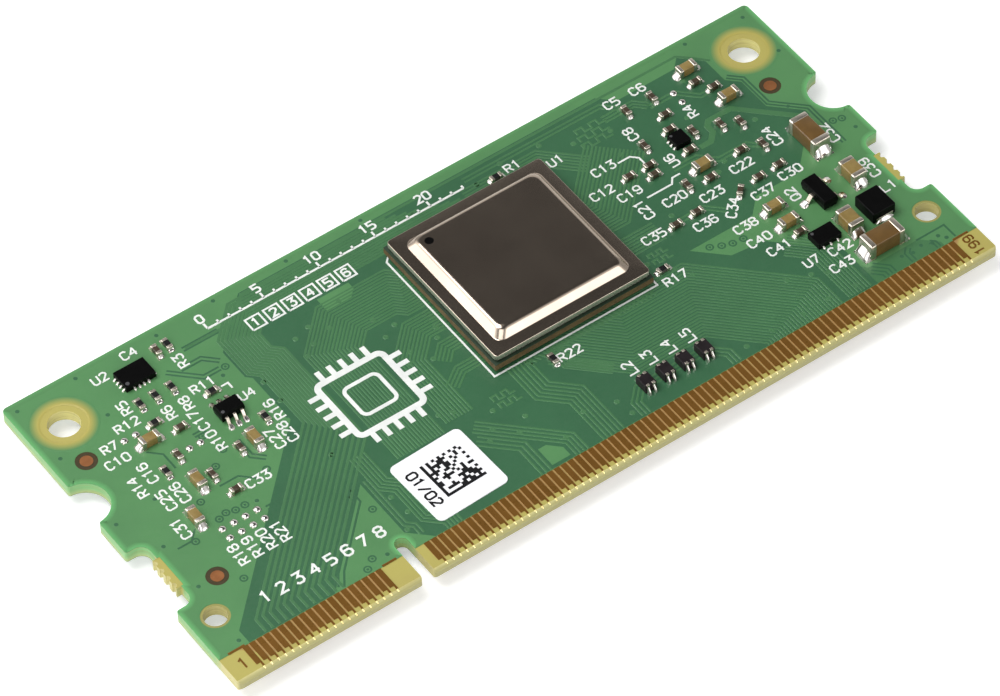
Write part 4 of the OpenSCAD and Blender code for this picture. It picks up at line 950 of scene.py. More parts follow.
# %% The print on the top
part_marks = [
    ("C4", 10.4, 29.95, 0), ("U2", 7.4, 29.2, 0), ("R3", 13.1, 27.1, 90), ("R5", 7.3, 25.8, 90),
    ("R12", 6.6, 24.35, 0), ("R7", 4.4, 23.3, 0), ("R6", 9.7, 23.5, 90), ("R8", 11.2, 23.5, 90),
    ("R11", 13.1, 24.2, 0), ("C10", 4.2, 21.9, 0), ("C17", 11.0, 21.6, 90), ("R10", 11.0, 19.3, 90),
    ("C16", 5.3, 19.7, 90), ("R14", 4.0, 19.0, 90), ("U4", 15.2, 21.6, 0), ("R16", 16.0, 19.2, 90),
    ("C25", 5.0, 16.8, 90), ("C26", 6.2, 16.8, 90), ("C27", 14.5, 16.9, 90), ("C28", 15.6, 16.9, 90),
    ("C31", 4.4, 14.0, 90), ("C33", 11.4, 14.5, 0), ("R18", 6.4, 9.6, 90), ("R19", 7.6, 9.6, 90),
    ("R20", 8.8, 9.6, 90), ("R21", 10.0, 9.6, 90), ("C5", 53.3, 28.8, 0), ("C6", 55.7, 28.8, 0),
    ("R4", 57.6, 24.6, 90), ("C8", 52.6, 25.4, 90), ("C13", 48.9, 23.8, 0), ("C12", 47.4, 21.9, 0),
    ("C19", 49.0, 20.6, 0), ("C21", 48.9, 18.7, 90), ("U6", 53.5, 21.4, 90), ("C20", 51.4, 18.2, 0),
    ("C23", 53.9, 16.9, 0), ("C22", 57.4, 17.9, 0), ("C24", 61.0, 18.9, 90), ("C32", 64.6, 16.6, 90),
    ("C35", 47.9, 16.1, 0), ("C36", 51.8, 14.9, 0), ("C34", 54.3, 14.9, 45), ("C37", 57.1, 14.8, 0),
    ("C30", 59.9, 15.2, 0), ("C38", 54.0, 12.9, 0), ("C40", 54.0, 11.2, 0), ("C41", 54.7, 9.7, 0),
    ("Q2", 58.7, 13.3, 90), ("C39", 64.9, 12.0, 90), ("L1", 64.9, 9.7, 0), ("U7", 55.8, 7.2, 0),
    ("C42", 58.3, 7.0, 0), ("C43", 57.4, 5.6, 0), ("U1", 46.5, 26.6, 0), ("R17", 46.8, 11.9, 0),
    ("R22", 36.3, 10.7, 0), ("R1", 43.6, 28.1, 0), ("L2", 38.9, 6.9, 90), ("L3", 40.65, 6.9, 90),
    ("L4", 42.4, 6.9, 90), ("L5", 44.15, 6.9, 90),
]
mark_height, mark_pen = 0.76, 0.125
top_print = [shape for text, u, v, turn in part_marks
             for shape in written(text, (u, v), turn, mark_height, mark_pen, mask_top, print_h)]
frame_line = [(31.5, 26.8), (30.6, 25.9), (30.6, 12.15), (45.3, 12.15), (45.3, 13.2)]
leaders = [[(50.1, 23.6), (51.2, 23.6), (51.7, 23.1), (51.7, 22.4)],
           [(49.8, 19.5), (52.1, 19.5), (52.5, 20.0), (53.2, 20.0)],
           [(14.1, 23.3), (14.7, 23.3), (14.7, 22.7)]]
line_pen, rule_pen = 0.14, 0.16
top_print += [inked([line], line_pen) for line in [frame_line] + leaders]

rule_start, rule_v, rule_length, long_every = 16.4, 28.5, 23, 5
long_tick, short_tick = 0.55, 0.3
tick = np.arange(rule_length + 1)
tick_top = rule_v + np.where(tick % long_every == 0, long_tick, short_tick)
ticks = np.stack([np.stack([rule_start + tick, np.full(len(tick), rule_v)], -1),
                  np.stack([rule_start + tick, tick_top], -1)], axis=1)
rule_line = [(rule_start, rule_v), (rule_start + rule_length, rule_v)]
top_print += [inked(ticks, rule_pen), ridges([rule_line], rule_pen, mask_top, print_h)]
number_v, number_height, number_pen = 29.6, 0.75, 0.15
for count in range(0, rule_length, long_every):
    middle = (rule_start + count, number_v)
    top_print += written(str(count), middle, 0, number_height, number_pen, mask_top, print_h)
box_count, box_start, box_step, box_v, box_half = 6, 19.6, 1.6, 26.9, 0.6
corner = box_half * np.array([(-1, -1), (1, -1), (1, 1), (-1, 1), (-1, -1)])
for count in range(box_count):
    middle = np.array([box_start + box_step * count, box_v])
    top_print += [inked([corner + middle], line_pen)]
    top_print += written(str(count + 1), middle, 0, number_height, number_pen, mask_top, print_h)
row_count, row_start, row_step, row_v, row_height, row_pen = 8, 5.8, 1.4, 5.3, 0.95, 0.17
for count in range(row_count):
    middle = (row_start + row_step * count, row_v)
    top_print += written(str(count + 1), middle, 0, row_height, row_pen, mask_top, print_h)
print("marks:", len(part_marks), "and a rule of", rule_length, "mm")

# %% [markdown]
# The chip sign is a rounded square with legs. Its outline is a ring of points: the corner of a square,
# plus a quarter turn of a small circle at each corner.


# %% A chip sign
def quarter_turns(count):
    """Angles and corner signs round a square, count points at each corner: four quarter turns in a row."""
    angle = np.radians(np.concatenate([q * 90 + np.linspace(0, 90, count) for q in range(4)]))
    return angle, np.repeat([[1, 1], [-1, 1], [-1, -1], [1, -1]], count, axis=0)


def round_square(middle, half, radius, steps=8):
    """Closed ring of points: at each corner, the corner's centre plus the radius turned through a quarter."""
    angle, sign = quarter_turns(steps + 1)
    points = sign * (half - radius) + radius * np.stack([np.cos(angle), np.sin(angle)], -1)
    return np.asarray(middle) + np.concatenate([points, points[:1]])


sign_middle, sign_half, sign_corner, sign_pen = np.array([22.4, 16.2]), 2.9, 0.5, 0.5
core_half, core_pen = 1.5, 0.3
leg_count, leg_spread, leg_length, leg_pen = 5, 2.0, 0.9, 0.42
top_print += [inked(round_square(sign_middle, half, sign_corner)[None], pen)
              for half, pen in ((sign_half, sign_pen), (core_half, core_pen))]
leg_place = np.linspace(-leg_spread, leg_spread, leg_count)
for quarter in range(4):
    along, across = spread(90 * quarter)
    foot = sign_middle + along * (sign_half + sign_pen / 2) + leg_place[:, None] * across
    legs = np.stack([foot, foot + along * leg_length], axis=1)
    top_print += [inked(legs, leg_pen)]
printed = gather(top_print)
piece("print_top", printed, silk_ink)
print("print faces:", len(printed[1]))

# %% [markdown]
# The connector carries its first and its last contact number, etched in the same plated copper as the
# contacts. Short bars of copper beside the end contacts show at the lacquer's edge.

# %% Numbers in copper
copper_v, copper_h = 1.35, 0.02 * MM
etched = written("1", (1.25, copper_v), 0, height=0.9, pen=0.14, base=card_high.z, lift=copper_h)
etched += written("199", (66.4, copper_v), 90, height=0.75, pen=0.13, base=card_high.z, lift=copper_h)
bar_v, bar_w, bar_h = 2.62, 0.16, 0.006 * MM
bars = [[(start, bar_v), (end, bar_v)] for start, end in ((0.8, 2.2), (14.0, 15.2), (65.4, 66.8))]
etched += [ridges(bars, bar_w, mask_top, bar_h)]
piece("copper_numbers", gather(etched), gold)
print("copper numbers and bars:", len(etched), "shapes")

# %% [markdown]
# ## The lid
# The lid is pressed from one sheet: a flat crown, a sloped wall, and a flange that sits on the package. A
# pressed sheet has no sharp bends, so the profile is a chain of short arcs, the widest where the wall
# rolls into the crown. The profile gives half a width and a height, and it is carried round a square with
# rounded corners, once over the outside and once under the hollow. The flange was sheared, so its side is
# pale and dull, and an attribute marks it.

# %% Drawn lid
lid_low, lid_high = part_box("processor_lid")
lid_middle = (lid_low + lid_high) / 2
lid_half = (lid_high.x - lid_low.x) / 2
die_half = (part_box("processor_die")[1].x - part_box("processor_die")[0].x) / 2
crown_half, crown_run, sheet = 5.525 * MM, 0.5 * MM, 0.5 * MM
crown_bend, foot_bend, edge_bend = 0.5 * MM, 0.12 * MM, 0.05 * MM
flange_low, crown_top = lid_low.z, lid_high.z
flange_top, foot_half, hollow_top = flange_low + sheet, crown_half + crown_run, crown_top - sheet
flange_corner, crown_corner, corner_points = 0.3 * MM, 0.7 * MM, 15
lean = math.degrees(math.atan2(crown_top - flange_top, crown_run))
tangent = math.tan(math.radians(lean / 2))


def sheared_edge(made, tone, rough):
    """A finish turned pale and dull where the piece's edge attribute is 1, as sheared metal is."""
    tree = made.node_tree
    shader = tree.nodes["Principled BSDF"]
    base, polish = (shader.inputs[label].links[0].from_socket for label in ("Base Color", "Roughness"))
    side = tree.nodes.new("ShaderNodeAttribute")
    side.attribute_name = "edge"
    tree.links.new(blend_colours(tree, side.outputs["Fac"], base, colour(*tone)), shader.inputs["Base Color"])
    tree.links.new(remap(tree, side.outputs["Fac"], 0, 1, polish, rough), shader.inputs["Roughness"])


def arc(middle, radius, start, end, steps=6):
    """Points (half width, height) on part of a circle: its middle plus the radius at evenly spaced angles."""
    angle = np.radians(np.linspace(start, end, steps + 1))
    return np.stack([middle[0] + radius * np.cos(angle), middle[1] + radius * np.sin(angle)], -1)


profile = np.concatenate([
    [(0.0, hollow_top), (die_half + crown_run, hollow_top), (foot_half - sheet / 2, flange_low)],
    arc((lid_half - edge_bend, flange_low + edge_bend), edge_bend, -90, 0, steps=3),
    arc((lid_half - edge_bend, flange_top - edge_bend), edge_bend, 0, 90),
    arc((foot_half + foot_bend * tangent, flange_top + foot_bend), foot_bend, 270, 270 - lean),
    arc((crown_half - crown_bend * tangent, crown_top - crown_bend), crown_bend, 90 - lean, 90, steps=14),
    [(crown_half * 0.5, crown_top), (0.0, crown_top)],
])
on_flange = profile[:, 0] > foot_half + foot_bend
corner_r = np.minimum(np.where(on_flange, flange_corner, crown_corner), profile[:, 0])
ring_angle, ring_sign = quarter_turns(corner_points)
ring_round = np.stack([np.cos(ring_angle), np.sin(ring_angle)], -1)
straight = profile[:, 0] - corner_r
lid_xy = ring_sign[None] * straight[:, None, None] + corner_r[:, None, None] * ring_round[None]
lid_z = np.broadcast_to(profile[:, 1, None, None], lid_xy.shape[:2] + (1,))
lid_corners = np.concatenate([lid_xy + np.array([lid_middle.x, lid_middle.y]), lid_z], -1).reshape(-1, 3)
lid_faces = grid_faces(len(profile), len(ring_angle), close_columns=True)
lid = piece("drawn_lid", (lid_corners, lid_faces), nickel, sharp_deg=50, merge=WELD)
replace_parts(lid, "processor_lid")
lid_points = np.empty(3 * len(lid.data.vertices), np.float32)
lid.data.vertices.foreach_get("co", lid_points)
away = np.abs(lid_points.reshape(-1, 3) - np.array(lid_middle))[:, :2].max(1)
height = lid_points[2::3]
side_depth = 0.1 * MM
above_foot, below_top = height > flange_low + edge_bend / 2, height < flange_top - edge_bend / 2
add_fade(lid, (away > lid_half - side_depth) & above_foot & below_top)
sheared_edge(nickel, (196, 192, 180), 0.5)
dot_from_middle = np.array([[-4.72, 4.6]])
dot_place = np.array([[lid_middle.x - card_low.x, lid_middle.y - card_low.y]]) / MM + dot_from_middle
dot = turned(dot_place, disc(0.32, 0.004, 0.03), crown_top, 32)
piece("lid_dot", dot, moulding, merge=WELD)
print("lid:", len(lid.data.polygons), "faces")

# %% [markdown]
# ## Chip parts
# A chip capacitor is a fired block with a metal cap dipped over each end. Both are boxes with soft edges.
# Such a box is a ball's surface pulled apart into eight pieces: each point of the ball moves out by the
# box's size, less the radius, towards its own corner. The parts' places, sizes and turns come from the
# frame.


# %% Soft boxes
def soft_box(half, radius, steps=3):
    """Corners of one box: the radius times the ball's normal, plus the corner's sign times the rest."""
    quarter = np.linspace(0, 90, steps + 1)
    lon, sign_xy = quarter_turns(steps + 1)
    lat = np.radians(np.concatenate([quarter - 90, quarter]))
    sign_z = np.repeat([-1, 1], steps + 1)
    normal = np.stack([np.cos(lat)[:, None] * np.cos(lon), np.cos(lat)[:, None] * np.sin(lon),
                       np.sin(lat)[:, None] + 0 * lon], -1)
    sign = np.concatenate([np.broadcast_to(sign_xy, normal.shape[:2] + (2,)),
                           np.broadcast_to(sign_z[:, None, None], normal.shape[:2] + (1,))], -1)
    return (normal * radius + sign * (np.asarray(half) - radius)).reshape(-1, 3)


def box_faces(steps=3):
    """The grid of the ball, closed round about, with one quad over each pole."""
    columns, rows = 4 * (steps + 1), 2 * (steps + 1)
    corner = np.arange(4) * (steps + 1)
    caps = np.array([corner[::-1], corner + (rows - 1) * columns])
    return np.concatenate([grid_faces(rows, columns, close_columns=True), caps])


def set_down(local, centre, turn):
    """Local corners turned on the card and moved to a centre: along and across times the local places."""
    along, across = spread(turn)
    xy = local[:, :1] * along + local[:, 1:2] * across + centre[:2]
    return np.column_stack([xy, local[:, 2] + centre[2]])


def boxes(places, radius):
    """Soft boxes at (middle, size, turn) places, as one shape."""
    corners = np.stack([set_down(soft_box(size / 2, radius), middle, turn) for middle, size, turn in places])
    return copies(corners, box_faces())


plate, cap_round = 0.03 * MM, 1.3


def chip_family(family, end, radius, material):
    """The blocks and the caps of one size of chip part. Caps stand proud of the block by the plating."""
    bodies = solids_of(family + "_bodies")
    blocks, caps = [], []
    for low, size, turn in bodies:
        along = spread(turn)[0]
        middle = low + np.array([0, 0, size[2] / 2])
        blocks.append((middle, size, turn))
        cap = np.array([end, size[1] + 2 * plate, size[2] + 2 * plate])
        reach = size[0] / 2 + plate - end / 2
        caps += [(middle + np.append(along * reach * s, 0), cap, turn) for s in (-1, 1)]
    body = piece(family + "_blocks", boxes(blocks, radius), material, sharp_deg=60, merge=FINE_WELD)
    ends = piece(family + "_caps", boxes(caps, radius * cap_round), tin, sharp_deg=60,
                 merge=FINE_WELD)
    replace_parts(body, family + "_bodies")
    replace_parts(ends, family + "_ends")
    return bodies


families = {
    "small_capacitor": (0.26, 0.05, dark_ceramic, "dark_ceramic"),
    "medium_capacitor": (0.36, 0.06, tan_ceramic, "tan_ceramic"),
    "large_capacitor": (0.45, 0.08, tan_ceramic, "tan_ceramic"),
    "bulk_capacitor": (0.55, 0.09, brown_ceramic, "brown_ceramic"),
    "resistor": (0.26, 0.03, alumina, "white_ceramic"),
    "underside_capacitor": (0.26, 0.05, dark_ceramic, "dark_ceramic"),
}
chips = {name: chip_family(name, end * MM, radius * MM, material)
         for name, (end, radius, material, slot) in families.items()}
print("chip parts:", {name: len(found) for name, found in chips.items()})

# %% [markdown]
# Solder wets the cap and the pad, and sets as a rounded lump in front of the cap. The blob is a height
# over the pad: it falls from the cap to the foot, part circle and part hollow, and rounds off to both
# sides. Its top and its flat underside are one loop of points, carried across the pad.


# %% Solder at the chips' ends
def blob(leg, half_width, tall, steps=8, lanes=9):
    """Loop of points along the pad for each lane across it: height falls along the pad and to its sides."""
    s = np.linspace(0, 1, steps + 1)
    t = np.linspace(-1, 1, lanes)
    fall = 0.6 * np.sqrt(1 - s ** 2) + 0.4 * (1 - s) ** 2
    side = np.clip(1 - np.abs(t) ** 2.5, 0, None) ** 0.5
    reach = leg * (0.55 + 0.45 * side)
    x = np.concatenate([s[None] * reach[:, None], s[None, ::-1] * reach[:, None]], 1)
    z = np.concatenate([tall * fall[None] * side[:, None], np.zeros((lanes, steps + 1))], 1)
    y = np.broadcast_to((t * half_width)[:, None], x.shape)
    return np.stack([x, y, z], -1).reshape(-1, 3), grid_faces(lanes, 2 * (steps + 1), close_columns=True)


solder_legs = {"small_capacitor": 0.26, "medium_capacitor": 0.46, "large_capacitor": 0.5,
               "bulk_capacitor": 0.56, "resistor": 0.26}
blob_half, blob_rise = 0.54, 0.62


def end_blobs(found, leg):
    """Blobs at both ends of each chip, most of the way up it."""
    shapes = []
    for low, size, turn in found:
        corners, faces = blob(leg, size[1] * blob_half, size[2] * blob_rise)
        foot = np.array([low[0], low[1], mask_top])
        for side in (0, 180):
            out = np.append(spread(turn + side)[0] * (size[0] / 2), 0)
            shapes.append((set_down(corners, foot + out, turn + side), faces))
    return shapes


blobs = gather([shape for name, leg in solder_legs.items() for shape in end_blobs(chips[name], leg * MM)])
piece("solder_blobs", blobs, solder, sharp_deg=60, merge=FINE_WELD)
print("solder blobs:", len(blobs[1]), "faces")

# %% [markdown]
# Leads and lands get the same blob at their outer end. Which way is out follows from the frame: it is the
# side on which the lead's box stands furthest past the box of its body.

# %% Solder at leads and lands
toe_inset = 0.08 * MM


def toes(node, body, leg, wide, tall):
    """A blob at the outer end of each solid of a node. wide is a share of the lead's width."""
    low, high = (np.array(corner)[:2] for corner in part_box(body))
    shapes = []
    for points in points_of(node):
        least, most = points.min(0)[:2], points.max(0)[:2]
        past = np.concatenate([most - high, low - least])
        turn = (0, 90, 180, 270)[int(np.argmax(past))]
        along, across = spread(turn)
        reach, half_width = np.abs(along) @ (most - least) / 2, np.abs(across) @ (most - least) / 2
        corners, faces = blob(leg * MM, half_width * wide, tall * MM)
        foot = np.append((least + most) / 2 + along * (reach - toe_inset), mask_top)
        shapes.append((set_down(corners, foot, turn), faces))
    return shapes


lead_solder = [("interface_chip_lands", "interface_chip_body", 0.24, 1.0, 0.2),
               ("buffer_chip_lands", "buffer_chip_body", 0.2, 1.0, 0.18),
               ("regulator_chip_lands", "regulator_chip_body", 0.22, 1.0, 0.2),
               ("gate_chip_leads", "gate_chip_body", 0.36, 1.9, 0.26),
               ("transistor_leads", "transistor_body", 0.48, 1.8, 0.3),
               ("power_coil_terminals", "power_coil_body", 0.3, 1.05, 0.42),
               ("signal_filter_terminals", "signal_filter_bodies", 0.4, 1.15, 0.75)]
toe_shapes = gather([shape for row in lead_solder for shape in toes(*row)])
piece("solder_toes", toe_shapes, solder, sharp_deg=60, merge=FINE_WELD)
dome_r, dome_h = 0.3, 0.2
angle = np.radians(np.linspace(0, 90, 8))
dome = np.column_stack([dome_r * np.cos(angle), dome_h * np.sin(angle)])
domes = turned(places_of("solder_domes"), dome, mask_top, 24)
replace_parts(piece("solder_lumps", domes, solder, sharp_deg=60, merge=FINE_WELD), "solder_domes")
print("solder toes:", len(toe_shapes[1]), "faces, lumps:", len(domes[1]))

# %% [markdown]
# The contacts were plated through thin tails that run to the card's edge, and the bevel cut them off.
# What is left of each tail is a smeared end on the bevel that glints. It is the same blob, small and
# sheared down the bevel, at the right-hand side of each contact.

# %% Plating ends on the bevel
bevel_l, bevel_h = 0.3 * MM, 0.25 * MM
tail_l, tail_w, tail_h = 0.16 * MM, 0.15 * MM, 0.04 * MM
tail, tail_faces = blob(tail_l, tail_w / 2, tail_h, steps=4, lanes=5)
tail = tail - tail[:, :1] * np.array([0, 0, bevel_h / bevel_l])
tail_x = np.array([points[:, 0].max() - tail_w / 2 for points in points_of("edge_contacts_top")])
every = np.ones(len(tail_x))
tail_foot = np.column_stack([tail_x, every * (card_low.y + bevel_l), every * card_high.z])
tails = gather([(set_down(tail, foot, 270), tail_faces) for foot in tail_foot])
bright_gold = coat("cut_plating", (228, 210, 150), (212, 192, 130), 900, 9000, (0.16, 0.24), 1e-6, metal=1.0)
piece("plating_ends", tails, bright_gold, sharp_deg=60, merge=FINE_WELD)
print("plating ends:", len(tail_x))

# %% [markdown]
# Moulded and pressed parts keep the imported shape, but no real edge is perfectly sharp. For each of them a
# copy of the node's mesh has its doubled corners merged and its flat triangles joined, and a bevel
# modifier rounds what is left. The copy then stands for the node.

# %% Softened copies
flat_deg, crease_deg = 1, 35


def softened(node, width):
    """A merged copy of a node with its edges rounded. It stands for the node and keeps its finish."""
    source = frame["nodes"][node]
    mesh = source.data.copy()
    mesh.name = node + "_soft"
    work = bmesh.new()
    work.from_mesh(mesh)
    bmesh.ops.remove_doubles(work, verts=work.verts, dist=WELD)
    bmesh.ops.dissolve_limit(work, angle_limit=math.radians(flat_deg), verts=work.verts, edges=work.edges)
    work.to_mesh(mesh)
    work.free()
    finish_mesh(mesh, crease_deg)
    obj = bpy.data.objects.new(node + "_soft", mesh)
    bpy.context.scene.collection.objects.link(obj)
    rounding = obj.modifiers.new("edges", "BEVEL")
    rounding.width, rounding.segments, rounding.limit_method = width, 2, "ANGLE"
    rounding.angle_limit = math.radians(crease_deg)
    rounding.use_clamp_overlap = True
    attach(obj, "root")
    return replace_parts(obj, node)


soft_edges = {
    "interface_chip_body": 0.02, "buffer_chip_body": 0.02, "regulator_chip_body": 0.02,
    "gate_chip_body": 0.03, "transistor_body": 0.03, "power_coil_body": 0.06,
    "signal_filter_bodies": 0.05, "memory_body": 0.04, "flash_body": 0.04, "gate_chip_leads": 0.02,
    "transistor_leads": 0.02, "power_coil_terminals": 0.015, "signal_filter_terminals": 0.01,
    "resistor_films": 0.01, "label": 0.02,
}
softer = {node: softened(node, width * MM) for node, width in soft_edges.items()}
print("softened:", len(softer))

# %% [markdown]
# The label carries a printed block pattern, as machine-read labels do, and a plain number. The blocks are
# a random draw with a fixed seed, framed by two solid sides, so the pattern is the same on every run and
# stands for nothing.

# %% Print on the label
label_low, label_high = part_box("label")
label_middle = np.array([(label_low.x + label_high.x) / 2, (label_low.y + label_high.y) / 2])
label_turn, cells, cell = 2.0, 14, 0.25
pattern_along, pattern_across, number_back, label_ink_h = 0.45, 0.1, 2.2, 0.004 * MM
drawn = np.random.default_rng(7).random((cells, cells)) < 0.5
drawn[0, :], drawn[:, 0] = True, True
drawn[-1, :], drawn[:, -1] = np.arange(cells) % 2 == 0, np.arange(cells) % 2 == 0
row, column = np.nonzero(drawn)
label_along, label_across = spread(label_turn)
label_uv = (label_middle - np.array([card_low.x, card_low.y])) / MM
block_uv = label_uv + ((column - cells / 2 + 0.5) * cell + pattern_along)[:, None] * label_along
block_uv = block_uv + ((row - cells / 2 + 0.5) * cell + pattern_across)[:, None] * label_across
block_paths = np.stack([block_uv - label_along * cell / 2, block_uv + label_along * cell / 2], axis=1)
label_print = [ridges(block_paths, cell, label_high.z, label_ink_h, slope=0.0)]
number_uv = label_uv - number_back * label_along
label_print += written("01/02", number_uv, label_turn - 90, height=0.8, pen=0.16, base=label_high.z,
                       lift=label_ink_h)
piece("label_print", gather(label_print), label_ink)
print("label blocks:", len(row))

# %% [markdown]
# Small dots moulded or printed by pin one help to set a chip down the right way. They are shallow turned
# rings, one on each black package, above and below the card.

# %% Pin-one dots
dot_margin, dot_h, under_dot_r = 2.2, 0.003, 0.4


def dots_on(node, side, radius):
    """The place of a package's first-pin dot: its middle, moved most of the way to one corner."""
    low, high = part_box(node)
    middle, half = np.array((low + high) / 2), np.array((high - low) / 2)
    xy = middle[:2] + half[:2] * np.array(side) - np.sign(side) * radius * dot_margin * MM
    return (xy - np.array([card_low.x, card_low.y])) / MM


dot_finish = coat("pin_dot", (70, 70, 72), (58, 58, 60), 1500, 16000, (0.5, 0.6), 1e-6)
for node, side, radius in (("interface_chip_body", (-1, -1), 0.14), ("gate_chip_body", (-1, -1), 0.12),
                           ("buffer_chip_body", (-1, 1), 0.1), ("regulator_chip_body", (-1, 1), 0.11)):
    shape = turned([dots_on(node, side, radius)], disc(radius, dot_h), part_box(node)[1].z, 24)
    piece(node + "_dot", shape, dot_finish, merge=FINE_WELD)
for node in ("memory_body", "flash_body"):
    dot_place, dot_level = dots_on(node, (-1, 1), under_dot_r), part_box(node)[0].z + dot_h * MM
    corners, faces = turned([dot_place], disc(under_dot_r, -dot_h, 0.03), dot_level, 32)
    piece(node + "_dot", (corners, faces[:, ::-1]), dot_finish, merge=FINE_WELD)

# %% [markdown]
# ## The underside
# The hidden face gets the same treatment: traces from its contacts to the two packages and to the bank of
# capacitors, and a field of vias under the processor. Ridges with a negative height hang below the mask.

# %% Traces and vias below
under_buses = [
    (bundle([(24.0, 2.7), (24.0, 5.6), (20.0, 9.6), (20.0, 12.0)], 14, 0.3), trace_w),
    (bundle([(34.0, 2.7), (34.0, 8.0), (36.0, 10.0), (36.0, 15.0)], 18, 0.3), trace_w),
    (bundle([(50.0, 2.7), (50.0, 10.4)], 22, 0.3), trace_w),
    (bundle([(58.0, 2.7), (58.0, 20.0), (52.0, 26.0), (34.0, 26.0)], 8, 0.3), trace_w),
    (bundle([(8.0, 2.7), (8.0, 20.0), (14.0, 26.0), (30.0, 26.0)], 8, 0.3), trace_w),
    (bundle([(26.0, 14.0), (30.0, 14.0)], 10, 0.34), trace_w),
    (bundle([(43.0, 18.0), (45.4, 18.0)], 16, 0.34), trace_w),
]
under_outline = [(6.4, 2.6), (6.4, 20.6), (13.4, 27.6), (52.6, 27.6), (59.8, 20.4), (59.8, 2.6), (18.6, 2.6),
                 (18.2, 5.0), (14.2, 5.0), (13.8, 2.6)]
under_level = mask_under - 0.003 * MM
sheet_piece("etched_area_under", under_outline, mask_under, under_level, mask_bare)
under = gather([ridges(paths, width, under_level, -trace_h) for paths, width in under_buses])
piece("traces_under", under, mask_trace, sharp_deg=20)
column, row = np.meshgrid(np.arange(6), np.arange(5))
under_vias = np.stack([30.8 + 2.1 * column.ravel(), 15.6 + 2.2 * row.ravel() - 0.55], -1)
under_pad = [(r, -z) for r, z in pad]
corners, faces = turned(under_vias, under_pad, under_level)
piece("via_pads_under", (corners, faces[:, ::-1]), mask_trace, sharp_deg=40, merge=FINE_WELD)
print("underside traces:", len(under[1]), "faces,", len(under_vias), "vias")

# %% [markdown]
# ## Light and camera
# The card lies on a white sweep, which looks white to the camera and in reflections and keeps a soft
# shadow. A broad lamp hangs above, and a weaker one fills from the front. The sky is bright at the
# horizon and dim overhead. Reflections see a dimmer sky with bright windows that fade out at their rims.
# The windows make the lid's sloped walls white, while its crown mirrors the dim part and stays brown.


# %% The stage
def stage_floor(size, depth, glow):
    """A square floor just under the card. Its glow is only seen by the camera and in reflections."""
    mesh = bpy.data.meshes.new("sweep")
    mesh.from_pydata([(-size, -size, depth), (size, -size, depth), (size, size, depth), (-size, size, depth)],
                     [], [(0, 1, 2, 3)])
    obj = bpy.data.objects.new("sweep", mesh)
    bpy.context.scene.collection.objects.link(obj)
    made = bpy.data.materials.new("white_sweep")
    made.use_nodes = True
    tree = made.node_tree
    tree.nodes.remove(tree.nodes["Principled BSDF"])
    kinds = ("BsdfDiffuse", "Emission", "AddShader")
    diffuse, lift, both = (tree.nodes.new("ShaderNode" + kind) for kind in kinds)
    diffuse.inputs["Color"].default_value = (0.8, 0.8, 0.8, 1)
    ray = tree.nodes.new("ShaderNodeLightPath")
    seen = tree.nodes.new("ShaderNodeMath")
    seen.operation = "MAXIMUM"
    tree.links.new(ray.outputs["Is Camera Ray"], seen.inputs[0])
    tree.links.new(ray.outputs["Is Glossy Ray"], seen.inputs[1])
    tree.links.new(remap(tree, seen.outputs[0], 0, 1, 0, glow), lift.inputs["Strength"])
    tree.links.new(diffuse.outputs[0], both.inputs[0])
    tree.links.new(lift.outputs[0], both.inputs[1])
    tree.links.new(both.outputs[0], tree.nodes["Material Output"].inputs["Surface"])
    mesh.materials.append(made)


def lamp(name, place, aim, size, power):
    """A square lamp at a place, turned towards an aim."""
    data = bpy.data.lights.new(name, "AREA")
    data.shape, data.size, data.energy = "SQUARE", size, power
    obj = bpy.data.objects.new(name, data)
    bpy.context.scene.collection.objects.link(obj)
    obj.location = place
    obj.rotation_euler = (Vector(aim) - Vector(place)).to_track_quat("-Z", "Y").to_euler()


def sky(direct, mirrored, windows):
    """A sky by height: low, high, and the strengths there. Reflections see another, with soft windows."""
    world = bpy.data.worlds.new("studio")
    bpy.context.scene.world = world
    world.use_nodes = True
    tree = world.node_tree
    direction = tree.nodes.new("ShaderNodeTexCoord").outputs["Generated"]
    split = tree.nodes.new("ShaderNodeSeparateXYZ")
    tree.links.new(direction, split.inputs[0])
    dull = remap(tree, split.outputs["Z"], *direct)
    bright = remap(tree, split.outputs["Z"], *mirrored)
    for window, inner, outer, shine in windows:
        towards = tree.nodes.new("ShaderNodeVectorMath")
        towards.operation = "DOT_PRODUCT"
        tree.links.new(direction, towards.inputs[0])
        towards.inputs[1].default_value = Vector(window).normalized()
        bright = remap(tree, towards.outputs["Value"], outer, inner, bright, shine)
    ray = tree.nodes.new("ShaderNodeLightPath")
    light = remap(tree, ray.outputs["Is Glossy Ray"], 0, 1, dull, bright)
    strength = remap(tree, ray.outputs["Is Camera Ray"], 0, 1, light, 1.0)
    background = tree.nodes["Background"]
    background.inputs["Color"].default_value = WHITE
    tree.links.new(strength, background.inputs["Strength"])


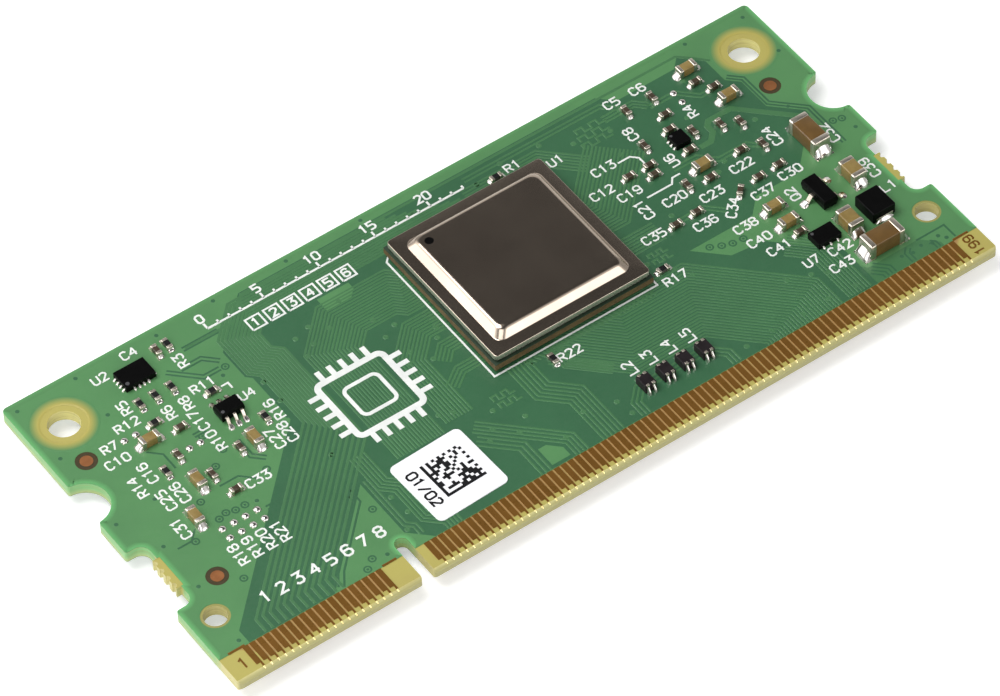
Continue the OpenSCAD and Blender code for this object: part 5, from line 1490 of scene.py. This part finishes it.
stage_floor(size=3.0, depth=cad_low.z - 0.02 * MM, glow=0.45)
front_wall, left_wall, front_corner = (0.36, -0.90, 0.22), (-0.84, 0.54, 0.08), (-0.76, -0.58, 0.31)
front_roll, left_roll, far_edges = (0.36, -0.78, 0.51), (-0.68, 0.54, 0.50), (0.62, 0.75, 0.20)
plain_sky, mirrored_sky = (0.2, 0.55, 1.0, 0.16), (0.5, 0.64, 0.6, 0.096)
sky(plain_sky, mirrored_sky, [
    (front_roll, 0.99, 0.8, 1.2), (left_roll, 0.97, 0.75, 2.2), (front_wall, 0.97, 0.91, 3.4),
    (left_wall, 0.97, 0.91, 3.6), (front_corner, 0.97, 0.91, 1.1), (far_edges, 0.93, 0.87, 1.0)])
lamp("overhead", (-0.13, 0.10, 0.34), (0, 0, 0), 0.24, 1.16)
lamp("front_fill", (-0.22, -0.22, 0.22), (0, 0, 0), 0.25, 0.53)
bpy.context.scene.view_settings.view_transform = "Standard"
print("lamps:", [light.name for light in bpy.data.lights])

# %% [markdown]
# The camera stands where the photographer stood: to the left of the contact edge, looking down, with a
# long lens. Its place is given by a point to look at, two angles, a distance and a slight roll.

# %% Camera
aim = Vector((-1.31 * MM, -1.36 * MM, mask_top))
azimuth, elevation, distance, roll = math.radians(-33.85), math.radians(49.63), 451.6 * MM, math.radians(2.23)
image_w, focal_px = 1000, 6186
level = math.cos(elevation)
back = Vector((math.sin(azimuth) * level, -math.cos(azimuth) * level, math.sin(elevation)))
camera = bpy.data.objects.new("camera", bpy.data.cameras.new("camera"))
bpy.context.scene.collection.objects.link(camera)
camera.data.sensor_width = 36.0
camera.data.lens = camera.data.sensor_width * focal_px / image_w
camera.data.clip_start, camera.data.clip_end = 0.01, 20.0
camera.rotation_mode = "QUATERNION"
camera.location = aim + back * distance
camera.rotation_quaternion = (-back).to_track_quat("-Z", "Y") @ Matrix.Rotation(-roll, 3, "Z").to_quaternion()
bpy.context.scene.camera = camera
print("lens:", round(camera.data.lens, 1), "mm")
